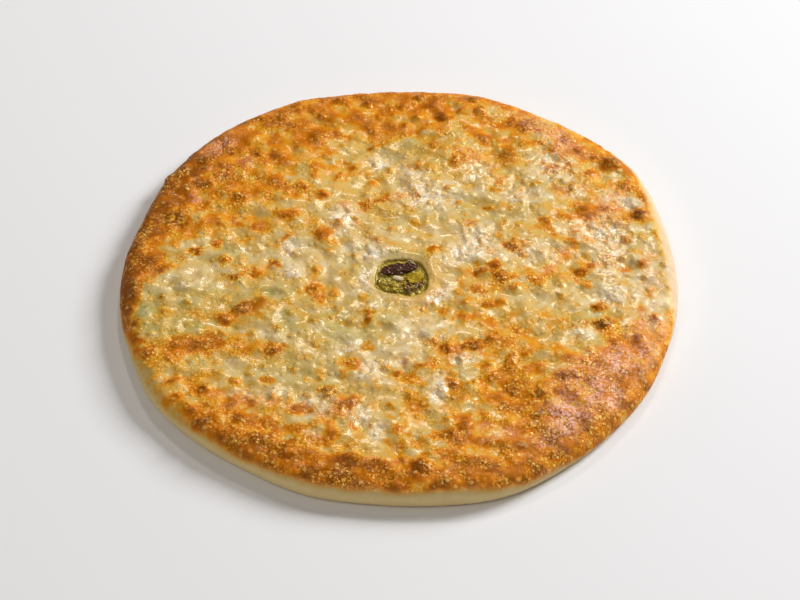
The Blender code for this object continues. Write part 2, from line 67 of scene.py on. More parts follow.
# The edge is one rounded lip: wide and soft above its widest line, tighter below it.
THICKNESS = 14.2 * MM
WIDEST_AT = 6.0 * MM
SHOULDER_WIDTH = 11.0 * MM
FOOT_WIDTH = 6.0 * MM
LIP_SQUARENESS = 2.25

# Slow waves of the top: (size of a wave, height).
SWELLS = ((75 * MM, 0.7 * MM), (30 * MM, 0.5 * MM), (12 * MM, 0.42 * MM))
WAVES_PER_SWELL = 16

# The vent hole is a slightly uneven round hole with a thin edge and a soft ring of dough.
VENT_X = 1.0 * MM
VENT_Y = 0.2 * MM
VENT_RADIUS = 15.5 * MM
VENT_WAVES = ((2, 0.8, -20), (3, 0.6, -44), (4, 0.8, 40), (5, 0.2, -8))
VENT_EDGE = 0.9 * MM
VENT_FLOOR = 3.0 * MM
RING_AT = 4.2 * MM
RING_HEIGHT = 0.7 * MM

# What stands in the vent keeps this far from what is round it.
GAP = 0.3 * MM

# Height of the filling's plain top.
FILLING_TOP = 12.6 * MM

# The three larger pieces that lie on the filling: x, y, half length, half width, half
# height, turn (mm, degrees).
DARK_LEAF = (-0.2, 6.8, 10.8, 4.3, 1.35, 14)
GREEN_LEAF = (8.8, 0.0, 5.0, 3.8, 0.4, 24)
CHEESE = (-1.4, -0.3, 3.5, 1.7, 0.9, -14)

# Main blisters of the crust: x, y, half length, half width, turn, height (mm, degrees), and
# how brown the top of each is, from 0 (pale) to 1 (dark).
BLISTERS = (
    (-141, 86, 5, 4, 55, 1.4, 0.92), (-118, 98, 6, 4.5, 45, 1.3, 0.9),
    (-104, 113, 5, 4, 40, 1.2, 0.85), (-130, 72, 4.5, 3.5, 60, 1.1, 0.85),
    (-150, 50, 5, 3.5, 70, 1.2, 0.85), (-154, 29, 5, 4, 80, 1.3, 0.9),
    (-148, 8, 4.5, 3.5, 90, 0.8, 0.8), (-110, 85, 4, 3.5, 30, 1.0, 0.8),
    (-94, 94, 5, 4, 70, 1.1, 0.8), (-72, 134, 4.5, 3.5, 30, 1.1, 0.82),
    (-52, 115, 5, 8, 0, 0.7, 0.84), (-36, 150, 6, 4, 10, 1.8, 0.75),
    (-20, 146, 4, 3.5, 0, 1.3, 0.88), (-16, 123, 3.5, 3, 0, 0.9, 0.72),
    (-16, 109, 4, 3.5, 20, 1.1, 0.75), (-75, 102, 4.5, 3, 0, 0.8, 0.8),
    (-95, 66, 6, 4, 10, 1.1, 0.82), (-75, 78, 5, 3.5, 5, 1.0, 0.84),
    (-59, 74, 5.5, 3.5, -20, 1.1, 0.84), (-45, 67, 5, 3.5, -15, 1.2, 0.85),
    (-67, 51, 6.5, 3.5, -5, 1.0, 0.8), (-36, 84, 4.5, 2.8, 30, 0.8, 0.72),
    (-27, 92, 4, 2.6, 15, 0.8, 0.66), (-17, 78, 3.5, 2.8, 0, 0.8, 0.66),
    (-11, 65, 4.5, 3.2, 20, 1.2, 0.78), (-21, 60, 3.8, 3.2, 60, 1.0, 0.78),
    (-45, 34, 5.5, 6.5, 30, 1.8, 0.82), (-120, 22, 5, 3, 25, 1.0, 0.84),
    (-109, 29, 4.5, 3.2, 15, 1.0, 0.82), (-85, 42, 5, 3, 0, 0.8, 0.75),
    (-67, 33, 4, 3.2, 40, 0.9, 0.78), (-74, 11, 5, 4.2, 0, 1.4, 0.82),
    (-95, 1, 5.5, 3.5, 20, 1.1, 0.84), (-84, 4, 4, 3.2, 30, 0.9, 0.72),
    (-13, 30, 3.5, 3.2, 0, 0.9, 0.62), (-34, 60, 3.2, 3, 0, 0.8, 0.68),
    (44, 150, 5, 3.5, -30, 2.0, 0.95), (12, 152, 5, 3, 0, 1.5, 0.85),
    (1, 144, 4, 3.5, 0, 1.0, 0.82), (49, 141, 4.5, 3.5, -30, 1.2, 0.8),
    (27, 134, 6, 4, 0, 1.3, 0.9), (75, 127, 4.5, 6.5, 40, 1.4, 0.92),
    (64, 101, 5, 7.5, 0, 0.7, 0.82), (51, 117, 4, 6, 0, 0.9, 0.82),
    (33, 95, 4, 5, 0, 1.2, 0.82), (100, 114, 4, 3.5, 0, 1.1, 0.84),
    (109, 106, 4.5, 3.5, 0, 1.2, 0.82), (118, 101, 3.5, 3, 0, 1.1, 0.82),
    (128, 96, 7.5, 6.5, 20, 2.3, 0.85), (114, 87, 4.5, 4, 0, 1.2, 0.82),
    (135, 77, 4.5, 3.5, 0, 1.3, 0.8), (146, 67, 4, 5, 20, 1.3, 0.84),
    (143, 51, 6.5, 6, 0, 2.4, 0.96), (123, 57, 6.5, 4, -10, 1.3, 0.86),
    (108, 57, 5.5, 3.5, 10, 1.1, 0.84), (57, 72, 4, 3.2, 0, 0.9, 0.7),
    (97, 50, 3.5, 3, 0, 0.9, 0.7), (87, 46, 4.5, 3.2, 30, 1.1, 0.78),
    (43, 45, 4, 3.2, 0, 1.0, 0.68), (53, 58, 3.5, 3, 0, 0.9, 0.62),
    (66, 25, 5, 4.2, 0, 1.4, 0.82), (20, 23, 3.4, 4, 0, 1.1, 0.76),
    (100, 29, 5, 3, -20, 1.0, 0.72), (133, 31, 3.8, 3.4, 0, 1.0, 0.75),
    (152, 34, 3, 5.5, 0, 1.0, 0.6), (142, 11, 4.5, 4, 0, 1.1, 0.74),
    (47, 5, 4.5, 3.8, 20, 1.2, 0.82), (56, 9, 4.5, 3.4, 0, 1.2, 0.82),
    (60, -1, 4.5, 3.4, 0, 1.1, 0.78), (106, 5, 4.5, 3.8, 30, 1.2, 0.84),
    (113, 9, 4, 3.2, 0, 1.0, 0.78), (45, -9, 4, 3.4, 0, 0.9, 0.76),
    (-155, -12, 4.5, 5, 0, 1.5, 0.86), (-152, -49, 4.5, 3.5, 0, 1.2, 0.88),
    (-143, -59, 5, 3.5, 20, 1.1, 0.84), (-92, -25, 6.5, 4, 30, 1.6, 0.96),
    (-102, -33, 5, 3.5, 20, 1.2, 0.86), (-50, -8, 5, 3.5, 10, 1.2, 0.8),
    (-48, -17, 4.5, 3, 0, 0.9, 0.7), (-73, -57, 6, 4, 10, 1.5, 0.92),
    (-112, -52, 9, 4.5, 0, 0.9, 0.88), (-129, -54, 6.5, 3.5, 10, 0.9, 0.84),
    (-75, -80, 4, 3, 0, 1.0, 0.76), (-28, -68, 5, 4, 0, 1.2, 0.8),
    (-18, -31, 3, 6, 10, 1.3, 0.82), (-41, -89, 4, 5.5, -30, 1.2, 0.8),
    (-30, -98, 3, 8, -45, 1.3, 0.9), (-57, -100, 4.5, 3.2, 20, 1.0, 0.82),
    (-111, -87, 4, 3.4, 0, 1.1, 0.84), (-112, -112, 6.5, 4, 10, 1.2, 0.96),
    (-80, -124, 9, 4.5, 0, 1.1, 0.92), (-65, -135, 7, 4, 0, 0.9, 0.9),
    (-30, -140, 10, 5.5, 10, 1.0, 0.92), (-128, -80, 5, 3.5, 30, 1.1, 0.84),
    (118, -37, 6, 5.5, 0, 2.3, 0.98), (115, -23, 4.5, 3.5, 0, 1.4, 0.84),
    (108, -6, 3.5, 3, 0, 1.0, 0.7), (67, -8, 3.4, 3, 0, 1.0, 0.76),
    (50, -21, 5, 3.8, 0, 1.0, 0.76), (37, -31, 5, 4.5, 20, 1.0, 0.72),
    (41, -54, 7, 3.6, 10, 1.6, 0.98), (27, -57, 5, 3.5, 0, 1.4, 0.9),
    (30, -83, 4.2, 3.6, 0, 1.5, 0.92), (12, -70, 4.5, 3.6, 0, 1.0, 0.78),
    (64, -64, 4, 6.5, -30, 1.0, 0.78), (66, -89, 5, 4, 0, 1.1, 0.84),
    (76, -97, 4.5, 4, 0, 1.0, 0.84), (36, -114, 5.5, 4, 20, 1.2, 0.84),
    (57, -128, 5, 3.4, 0, 1.1, 0.84), (77, -129, 5.5, 3.6, 20, 1.1, 0.86),
    (12, -144, 5.5, 7.5, 0, 1.5, 0.95), (-3, -158, 6, 4, 0, 1.2, 0.84),
    (42, -142, 7, 4, 0, 1.0, 0.86), (100, -76, 5, 3.4, 0, 1.1, 0.8),
    (138, -47, 4, 3.5, 0, 1.0, 0.82), (148, -32, 3.5, 4, 0, 1.1, 0.8),
    (108, -110, 6, 4, 30, 0.9, 0.84),
)

# Small blisters, scattered: how many, their least and greatest radius, and their height.
SMALL_BLISTERS = 190
SMALL_LEAST = 2.0 * MM
SMALL_MOST = 3.4 * MM
SMALL_HEIGHT = 1.0 * MM
SMALL_SEED = 11
SMALL_TRIES = 6000

# How far they keep from the edge, the vent, each other and the main blisters.
SMALL_OFF_EDGE = 6 * MM
SMALL_OFF_VENT = 7 * MM
SMALL_APART = 1.5 * MM
SMALL_OFF_MAIN = 1 * MM

# Folds that the dough makes as it is gathered to the vent: x, y, half length, half width,
# turn, height (mm, degrees).
FOLDS = (
    (20, -17, 13, 2.2, 48, 0.9),
    (-14, -30, 10, 2.0, 66, 0.9),
    (-25, -84, 16, 2.4, 40, 0.9),
    (-33, 46, 11, 4.0, 55, 1.3),
    (-66, 25, 9, 3.0, 110, 1.1),
    (24, -88, 12, 4.5, 80, 1.4),
    (36, -64, 8, 5.0, 70, 1.3),
    (42, 19, 12, 6.0, 20, 0.9),
    (-25, -105, 9, 5.0, 80, 1.0),
)


def waved_radius(angle, mean, waves):
    """Distance from the middle to a round outline, at an angle in radians."""
    radius = np.full_like(np.asarray(angle, float), mean)
    for lobes, size, turn in waves:
        radius = radius + size * MM * np.cos(lobes * (angle - math.radians(turn)))
    return radius


def shoulder_start(angle):
    """Distance from the middle to where the top begins to round off."""
    return waved_radius(angle, MEAN_RADIUS, OUTLINE_WAVES) - SHOULDER_WIDTH


def from_vent(x, y):
    """How far places lie out from the vent's outline, and their angle round the vent."""
    vx = x - VENT_X
    vy = y - VENT_Y
    around = np.arctan2(vy, vx)
    return np.hypot(vx, vy) - waved_radius(around, VENT_RADIUS, VENT_WAVES), around


def smooth_step(share):
    return share * share * (3 - 2 * share)


def swell(x, y, size, seed):
    """A smooth random height of about -1 to 1, from plane waves of about this size."""
    dice = random.Random(seed)
    total = np.zeros_like(x)
    for _ in range(WAVES_PER_SWELL):
        heading = dice.uniform(0, 2 * math.pi)
        turns = 2 * math.pi / (size * dice.uniform(0.75, 1.5))
        phase = dice.uniform(0, 2 * math.pi)
        total += np.cos((x * math.cos(heading) + y * math.sin(heading)) * turns + phase)
    return total / math.sqrt(WAVES_PER_SWELL)


def lip_table():
    """Round the edge from the top to the underside: path length, place out from the start
    of the shoulder, and height."""
    angles = np.linspace(math.pi / 2, -math.pi / 2, 241)
    power = 2 / LIP_SQUARENESS
    across = np.abs(np.cos(angles)) ** power
    upright = np.abs(np.sin(angles)) ** power
    above = angles >= 0
    width = np.where(above, SHOULDER_WIDTH, FOOT_WIDTH)
    out = SHOULDER_WIDTH - width * (1 - across)
    height = WIDEST_AT + np.where(above, (THICKNESS - WIDEST_AT) * upright, -WIDEST_AT * upright)
    steps = np.hypot(np.diff(out), np.diff(height))
    return np.concatenate([[0.0], np.cumsum(steps)]), out, height


LIP_PATH, LIP_OUT, LIP_HEIGHT = lip_table()
LIP_LENGTH = float(LIP_PATH[-1])


def small_blisters():
    """Places for the small blisters, by chance, wherever there is room."""
    dice = random.Random(SMALL_SEED)
    found = []
    tries = 0
    while len(found) < SMALL_BLISTERS and tries < SMALL_TRIES:
        tries += 1
        reach = (MEAN_RADIUS - SMALL_OFF_EDGE) * math.sqrt(dice.random())
        angle = dice.uniform(0, 2 * math.pi)
        size = dice.uniform(SMALL_LEAST, SMALL_MOST)
        longer = dice.uniform(1.0, 1.35)
        turn = dice.uniform(0, 180)
        x = reach * math.cos(angle)
        y = reach * math.sin(angle)
        if math.hypot(x - VENT_X, y - VENT_Y) < VENT_RADIUS + SMALL_OFF_VENT:
            continue
        crowded = False
        for other in found:
            if math.hypot(x - other[0], y - other[1]) < size + other[2] + SMALL_APART:
                crowded = True
        for bx, by, long, wide, *_ in BLISTERS:
            if math.hypot(x - bx * MM, y - by * MM) < size + max(long, wide) * MM + SMALL_OFF_MAIN:
                crowded = True
        if not crowded:
            height = SMALL_HEIGHT * dice.uniform(0.6, 1.2)
            found.append((x, y, size * longer, size, turn, height))
    return found


def across_oval(x, y, oval):
    """How far out a place is in an oval: 0 at its middle, 1 at its edge."""
    ox, oy, long, wide, turn = oval[:5]
    cos = math.cos(math.radians(turn))
    sin = math.sin(math.radians(turn))
    dx = x - ox
    dy = y - oy
    return np.hypot((dx * cos + dy * sin) / long, (dy * cos - dx * sin) / wide)


def relief(x, y):
    """Height of the crust without its blisters over its plain form, at places of the top
    laid flat."""
    height = np.zeros_like(x)
    for index, (size, tall) in enumerate(SWELLS):
        height += tall * swell(x, y, size, 100 + index)
    to_edge = shoulder_start(np.arctan2(y, x)) - np.hypot(x, y)
    height *= np.clip(1.0 + to_edge / (14 * MM), 0.0, 1.0)
    for fx, fy, long, wide, turn, tall in FOLDS:
        out = across_oval(x, y, (fx * MM, fy * MM, long * MM, wide * MM, turn))
        height += tall * MM * np.clip(1 - out**2, 0, 1) ** 2
    off, around = from_vent(x, y)
    one_sided = 0.65 + 0.35 * np.cos(around)
    ring = np.exp(-(((off - RING_AT) / (2.2 * MM)) ** 2)) * one_sided
    calm = np.clip(off / (8 * MM), 0, 1)
    return height * calm + RING_HEIGHT * ring


# ---------------------------------------------------------------- finer form and browning

# Blisters too small for the part: how many, least and greatest radius, height.
TINY_BLISTERS = 1900
TINY_LEAST = 1.1 * MM
TINY_MOST = 2.1 * MM
TINY_HEIGHT = 0.75 * MM
TINY_SEED = 23

# How far they reach past the mean edge, and how far they keep from the vent.
TINY_PAST_EDGE = 4 * MM
TINY_OFF_VENT = 4 * MM

# The share of the tiny ones with a paler cap, painted as a highlight, and how much paler.
GLINT_CAPPED_SHARE = 0.42
PAINTED_GLINT_CAP = 0.24

# How brown the scattered blisters' tops are, from the least to the most.
SMALL_BROWN = (0.45, 0.86)
SMALL_BROWN_SEED = 31

# Brownness, 0 to 1: the plain dough, the least of all, the most by patches and by stray
# blots, the pale side and the underside.
PLAIN_BROWN = 0.27
LEAST_BROWN = 0.08
PATCH_BROWN = 0.59
MOST_BROWN = 0.87
SIDE_BROWN = 0.15
BENEATH_BROWN = 0.5

# How fine the crust's mesh is.
STEP_ROUND = 1.22 * MM
STEP_OUT = 1.12 * MM

# Browning along the edge: angle, how far it reaches in (mm), how brown (0 to 1).
EDGE_BROWNING = (
    (0, 6, 0.06), (15, 9, 0.12), (30, 20, 0.22), (45, 26, 0.21), (60, 28, 0.15), (75, 32, 0.26),
    (90, 38, 0.34), (105, 46, 0.32), (120, 66, 0.26), (135, 82, 0.24), (150, 82, 0.24),
    (160, 60, 0.34), (170, 32, 0.36), (180, 22, 0.36), (190, 20, 0.30), (200, 8, 0.10),
    (210, 26, 0.10), (220, 42, 0.12), (230, 48, 0.19), (240, 44, 0.34), (255, 38, 0.40),
    (270, 30, 0.24), (285, 40, 0.23), (300, 54, 0.24), (315, 66, 0.26), (330, 52, 0.26),
    (340, 32, 0.22), (350, 10, 0.12), (360, 6, 0.06),
)

# A narrower, darker band outside it: the same three numbers.
EDGE_SCORCH = (
    (0, 4, 0.0), (40, 8, 0.04), (75, 12, 0.08), (100, 12, 0.05), (120, 16, 0.10),
    (138, 30, 0.25), (152, 28, 0.25), (165, 20, 0.31), (185, 16, 0.34), (200, 6, 0.04),
    (214, 10, 0.04), (235, 20, 0.12), (256, 26, 0.24), (272, 24, 0.19), (290, 22, 0.18),
    (315, 22, 0.12), (336, 14, 0.13), (352, 6, 0.04), (360, 4, 0.0),
)

# Broad patches that are browner (or, below zero, paler) than what is round them:
# x, y, half length, half width, turn, amount (mm, degrees).
PATCHES = (
    (-85, 85, 50, 36, 30, 0.05), (-85, 57, 36, 20, 10, 0.10), (-60, 75, 30, 12, -10, 0.03),
    (-20, 128, 70, 16, 0, 0.14), (60, 108, 26, 22, 0, 0.12), (112, 92, 26, 24, 50, 0.17),
    (118, 55, 30, 14, 0, 0.20), (60, 3, 38, 20, 0, 0.06), (105, 8, 26, 16, 0, 0.08),
    (52, -28, 26, 30, 0, 0.09), (80, -60, 46, 34, 30, 0.11), (40, -56, 24, 10, 0, 0.16),
    (60, -95, 40, 24, 20, 0.16), (122, -55, 34, 30, 50, 0.16), (100, -105, 40, 26, 40, 0.02),
    (15, -85, 24, 26, 0, 0.12), (25, -125, 44, 20, 0, 0.07), (-100, -95, 40, 24, -20, 0.14),
    (-115, -53, 34, 12, 0, 0.30), (-80, -125, 40, 16, -25, 0.18), (-92, -28, 24, 10, 25, 0.24),
    (-48, -10, 18, 14, 0, 0.14), (-75, -57, 16, 9, 0, 0.22), (-28, -68, 12, 9, 0, 0.18),
    (-95, 3, 20, 9, 15, 0.14), (-60, 104, 26, 16, 0, 0.04), (8, 140, 40, 12, 0, 0.10),
    (-10, 62, 20, 9, 15, 0.12), (25, 95, 12, 20, 0, 0.08), (0, -145, 60, 12, 0, 0.03),
    (-150, 40, 14, 40, 10, 0.12), (-130, 85, 22, 30, 50, 0.16), (75, 128, 22, 12, -35, 0.04),
    (-45, 33, 12, 12, 0, 0.14), (-30, -98, 12, 10, 0, 0.16), (20, 5, 40, 30, 0, 0.02),
    (-25, 85, 26, 16, 0, 0.10), (15, 108, 26, 16, 0, 0.08), (60, -95, 30, 26, 0, 0.10),
    (78, -18, 34, 9, -6, -0.08),
    (120, 50, 26, 26, 0, 0.08), (-50, -137, 30, 14, 0, 0.10), (-20, -110, 30, 20, 0, 0.06),
    (-120, 5, 40, 20, 0, -0.03), (5, -45, 26, 20, 0, -0.10), (35, 30, 30, 20, 0, -0.06),
    (-30, 15, 26, 26, 0, -0.06), (-60, -45, 40, 18, 0, -0.04), (30, 70, 40, 20, 0, -0.06),
    (-60, -75, 26, 16, 0, -0.05), (-10, -112, 30, 12, 0, -0.10), (150, 10, 8, 40, 5, -0.10),
    (124, -14, 15, 11, 0, -0.16), (106, -44, 13, 11, 20, -0.16), (-17, -74, 12, 11, 0, -0.12),
    (138, 61, 11, 9, 0, -0.16), (142, -57, 10, 13, 10, -0.14), (30, -123, 11, 8, 0, 0.30),
    (-63, 6, 12, 12, 0, -0.10), (81, -112, 14, 9, 20, 0.16), (150, -35, 9, 11, 0, -0.16),
    (-29, -56, 12, 8, 0, -0.10), (20, -89, 8, 12, 0, -0.20), (127, 83, 10, 9, 0, -0.10),
    (43, 19, 16, 10, 0, -0.10), (39, 102, 12, 9, 0, 0.13), (64, 112, 14, 8, 0, 0.13),
    (-151, -27, 7, 13, 0, -0.12), (-111, -28, 16, 7, 10, 0.13), (6, -102, 7, 7, 0, 0.24),
    (-77, -127, 12, 8, 0, 0.18), (-102, 41, 14, 10, 0, -0.10), (-49, -121, 8, 6, 0, -0.18),
    (51, -33, 11, 6, 10, 0.17), (-143, -2, 8, 8, 0, 0.20), (84, -119, 12, 8, 20, 0.13),
    (94, 74, 9, 8, 0, 0.13), (-57, -102, 8, 6, 0, 0.24), (60, 87, 10, 8, 0, 0.12),
    (94, 18, 8, 7, 0, 0.22), (-18, -65, 10, 7, 0, -0.12), (-78, -128, 10, 6, 0, 0.18),
    (-68, -20, 10, 6, 0, 0.17), (43, 100, 10, 8, 0, 0.12), (45, -144, 12, 6, 10, 0.24),
    (-129, -63, 9, 8, 0, 0.12), (-59, 25, 10, 8, 0, -0.12), (129, 81, 8, 8, 0, -0.12),
    (75, -2, 10, 6, 0, 0.13), (-139, -35, 7, 7, 0, 0.18), (95, 103, 10, 6, 0, 0.10),
    (-34, -101, 8, 8, 0, 0.18), (-137, 24, 12, 10, 0, -0.14), (-42, 108, 9, 6, 0, 0.18),
    (-5, -27, 8, 5, 0, 0.12), (51, 126, 12, 7, 0, 0.10), (-151, -23, 6, 10, 0, -0.10),
    (-91, -97, 8, 6, 0, 0.20), (24, -149, 10, 4, 0, 0.22), (9, -112, 7, 6, 0, 0.20),
    (5, 57, 7, 6, 0, 0.18),
)

# Smaller spots of the same kind, which also show where the dough is browned already.
SPOTS = (
    (80, -110, 10, 7, 20, 0.20), (-78, -128, 11, 6, 0, 0.20), (31, -124, 8, 6, 0, 0.16),
    (44, -147, 11, 5, 10, 0.14), (94, 115, 9, 5, -30, 0.14), (-130, 85, 7, 9, 40, 0.14),
    (-73, 129, 10, 5, 15, 0.14), (-29, 106, 8, 6, 0, 0.14), (-91, -98, 8, 6, 0, 0.16),
    (-39, -89, 8, 6, 0, 0.14), (-126, -60, 9, 7, 0, 0.14), (-32, -106, 8, 6, 0, 0.14),
    (-138, -66, 6, 7, 0, 0.14), (31, -90, 6, 6, 0, 0.16), (72, -54, 10, 8, 0, 0.14),
    (92, -123, 8, 6, 20, 0.14), (137, -38, 7, 6, 0, 0.14), (94, 70, 8, 6, 0, 0.12),
    (115, -66, 9, 6, 30, 0.12), (114, -81, 7, 6, 0, 0.12), (131, 85, 8, 7, 0, -0.14),
    (124, 94, 7, 6, 0, -0.12), (-7, 96, 8, 6, 0, -0.12), (7, 134, 9, 6, 0, -0.12),
    (-40, 126, 9, 6, 0, -0.12), (-28, 121, 8, 6, 0, -0.10), (-95, 123, 10, 6, 20, -0.10),
    (-76, -102, 9, 6, 0, -0.14), (-103, -82, 9, 7, 0, -0.12), (-86, -77, 9, 6, 0, -0.12),
    (-60, -144, 9, 5, 0, -0.12), (-32, -126, 9, 6, 0, -0.12), (-48, -121, 8, 6, 0, -0.12),
    (73, -87, 9, 7, 20, -0.14), (65, -79, 8, 6, 0, -0.10), (43, -89, 8, 6, 0, -0.14),
    (104, -53, 10, 7, 20, -0.12), (64, -110, 9, 6, 0, -0.12), (91, -72, 9, 6, 0, -0.10),
    (142, -6, 8, 10, 0, -0.14), (110, -33, 9, 8, 0, -0.12), (4, -75, 8, 6, 0, -0.12),
    (15, -137, 8, 5, 0, -0.16), (-74, 62, 9, 7, 0, -0.12), (-120, 55, 10, 9, 0, -0.10),
    (105, -3, 9, 7, 0, -0.12), (58, 78, 8, 6, 0, 0.14), (-146, -2, 6, 7, 0, 0.16),
    (-139, -33, 6, 6, 0, 0.14), (-64, -21, 8, 5, 0, 0.12), (24, -149, 9, 4, 0, 0.14),
    (-151, -25, 6, 9, 0, -0.12), (-57, 28, 10, 8, 0, -0.10), (-102, 18, 10, 8, 0, -0.08),
    (93, 87, 9, 7, 0, 0.10), (84, -122, 8, 6, 20, 0.10), (-112, -30, 12, 5, 0, 0.10),
    (74, 129, 10, 5, -20, 0.10), (-55, -102, 7, 5, 0, 0.10), (-82, -44, 10, 8, 0, -0.08),
    (5, -129, 8, 4, 0, 0.16), (-140, -82, 9, 14, 50, -0.10), (-15, -59, 9, 7, 0, -0.10),
    (138, 61, 8, 8, 0, -0.12), (150, -23, 7, 9, 0, -0.12), (-113, 69, 10, 8, 0, -0.10),
    (-150, -26, 6, 9, 0, -0.10), (-83, -18, 10, 6, 0, 0.10), (-100, 36, 10, 8, 0, -0.10),
    (91, -71, 9, 7, 0, -0.10), (85, -122, 8, 6, 20, 0.10), (-124, 50, 9, 8, 0, -0.10),
    (-19, -76, 8, 6, 0, -0.10), (59, 83, 9, 6, 0, 0.10), (75, -6, 9, 6, 0, 0.10),
    (-77, -20, 9, 6, 0, 0.08), (101, 93, 8, 6, 0, 0.10), (-52, -33, 8, 6, 0, 0.12),
)

# Under the browned top the edge stays pale: angle, and how far over the edge that begins (mm).
PALE_SIDE = (
    (0, 2), (20, 3), (36, 7), (60, 13), (90, 15), (165, 15), (182, 12), (200, 9), (216, 9),
    (235, 8), (255, 6), (275, 5), (289, 7), (302, 13), (312, 16), (333, 17), (345, 13),
    (353, 6), (360, 2),
)

# Where greens of the filling show through thin dough: x, y, half length, half width, turn,
# amount.
GREENS = (
    (-122, -14, 40, 20, 0, 0.75), (-146, -32, 11, 15, 0, 1.0), (-116, -67, 8, 7, 0, 0.9),
    (-45, -36, 44, 20, -8, 0.7), (-75, -14, 20, 12, 0, 0.6), (95, 76, 18, 18, 0, 0.7),
    (151, 20, 5, 30, 4, 0.8), (15, 108, 22, 16, 0, 0.65), (30, -93, 7, 10, 0, 0.9),
    (-42, -88, 10, 9, 30, 0.8), (5, 50, 20, 14, 0, 0.55), (-66, -72, 34, 16, 0, 0.55),
    (-22, 14, 18, 24, 0, 0.45), (105, -38, 20, 18, 0, 0.45), (50, 58, 40, 22, 0, 0.35),
    (-30, 105, 14, 14, 0, 0.4), (-100, 20, 26, 10, 0, 0.5), (-12, -20, 20, 10, 0, 0.5),
    (140, 28, 16, 30, 0, 0.4), (-125, -40, 30, 12, 0, 0.6), (64, 100, 8, 10, 0, 0.7),
    (-9, -21, 9, 4, -15, 0.9), (14, 18, 9, 5, -25, 0.9), (-6, 18, 8, 3, 15, 0.7),
    (-5, -29, 9, 6, 0, 0.9),
)

# Where a pinkish sheen is painted on the butter: the same six numbers.
PAINTED_SHEEN_PATCHES = (
    (95, -106, 15, 14, 30, 1.2), (116, -93, 12, 11, 45, 1.1), (128, -66, 12, 14, 20, 1.0),
    (106, -78, 26, 16, 45, 0.5), (84, -124, 16, 8, 20, 0.5), (136, -38, 8, 14, 0, 0.5),
    (60, -118, 10, 6, 0, 0.4), (128, 64, 16, 10, 70, 0.5), (146, 2, 10, 26, 0, 0.6),
    (92, 120, 28, 9, -42, 0.7),
    (-110, 112, 16, 8, 40, 0.5), (-122, 66, 5, 5, 0, 0.6), (-93, 98, 6, 5, 0, 0.6),
    (148, -34, 8, 12, 10, 0.9), (142, -56, 8, 11, 10, 0.7),
)

# Where the browned top has few pin blisters: the same six numbers.
SMOOTH = ((-10, 140, 80, 20, 0, 0.9), (-100, 40, 30, 16, 0, 0.5), (30, 140, 40, 12, -10, 0.2))

# Where the dough is thin, pale and puckered under its butter, its white partly a painted highlight: the
# same six numbers.
PALE_PUCKERS = (
    (-33, 49, 9, 15, -20, 1.0), (-66, 25, 5, 11, 0, 0.9), (44, 23, 15, 10, 10, 1.0),
    (-13, 96, 8, 7, 0, 0.9), (16, 66, 22, 12, 0, 0.8), (75, 67, 18, 7, 0, 0.8),
    (36, -64, 8, 6, 0, 1.0), (22, -88, 6, 14, 0, 1.0), (-24, -106, 8, 11, 0, 1.0),
    (-12, -119, 6, 9, 0, 0.9), (24, -13, 5, 10, -35, 1.0), (-17, -72, 8, 10, -30, 0.9),
    (92, 92, 14, 16, 0, 1.0), (118, 40, 22, 14, 0, 1.0), (80, 20, 26, 9, 0, 0.6),
    (128, 18, 12, 22, 0, 0.5), (104, 72, 12, 10, 0, 0.6), (124, 66, 9, 8, 0, 0.6),
    (30, 15, 10, 6, 0, 0.9), (-80, -92, 24, 8, 0, 0.5), (5, 84, 12, 14, 0, 0.5),
    (45, 92, 12, 18, 0, 0.5), (-125, -2, 30, 10, 0, 0.3), (-45, -100, 16, 12, 0, 0.6),
    (120, 15, 10, 20, 0, 0.5), (10, -45, 16, 12, 0, 0.4), (-20, 25, 12, 12, 0, 0.5),
    (45, 38, 15, 10, 0, 0.55), (-15, 18, 9, 6, 35, 1.0), (-21, -2, 4, 10, 0, 0.9),
    (19, -16, 4, 10, -42, 1.0),
    (-14, -22, 8, 5, 20, 0.5), (124, -14, 13, 9, 0, 0.8),
    (106, -44, 10, 8, 20, 0.6), (138, 61, 8, 7, 0, 0.7), (-64, 4, 9, 8, 0, 0.6),
    (-29, -56, 9, 6, 0, 0.6), (0, -67, 10, 6, 0, 0.6), (-49, -121, 6, 5, 0, 0.5),
)


def soft_patches(x, y, patches):
    """Sum of soft ovals, each its amount at the middle and nothing past its edge."""
    total = np.zeros_like(x)
    for px, py, long, wide, turn, amount in patches:
        out = across_oval(x, y, (px * MM, py * MM, long * MM, wide * MM, turn))
        total += amount * np.clip(1 - (out / 1.25) ** 2, 0, 1) ** 1.5
    return total


def tiny_blisters():
    """Places for the tiny blisters, by chance, all over the top."""
    dice = random.Random(TINY_SEED)
    found = []
    for _ in range(TINY_BLISTERS):
        reach = (MEAN_RADIUS + TINY_PAST_EDGE) * math.sqrt(dice.random())
        angle = dice.uniform(0, 2 * math.pi)
        x = reach * math.cos(angle)
        y = reach * math.sin(angle)
        size = dice.uniform(TINY_LEAST, TINY_MOST)
        longer = dice.uniform(1.0, 1.3)
        height = TINY_HEIGHT * dice.uniform(0.5, 1.2) * size / TINY_MOST
        if math.hypot(x - VENT_X, y - VENT_Y) > VENT_RADIUS + TINY_OFF_VENT:
            found.append((x, y, size * longer, size, dice.uniform(0, 180), height, dice.random()))
    return found


def brown_of_small(blisters):
    """Gives each scattered blister how brown its top is."""
    dice = random.Random(SMALL_BROWN_SEED)
    return [(*blister, dice.uniform(*SMALL_BROWN)) for blister in blisters]


# Each is x, y, half length, half width, turn, height and brownness.
MAIN = [(x * MM, y * MM, a * MM, b * MM, t, h * MM, br) for x, y, a, b, t, h, br in BLISTERS]
MAIN_SET = set(MAIN)
SMALL = brown_of_small(small_blisters())
TINY = tiny_blisters()


def near(x, y, blister, times=1.5):
    """Which places lie in a blister's reach, as an index array."""
    reach = times * max(blister[2], blister[3])
    return np.flatnonzero((np.abs(x - blister[0]) < reach) & (np.abs(y - blister[1]) < reach))


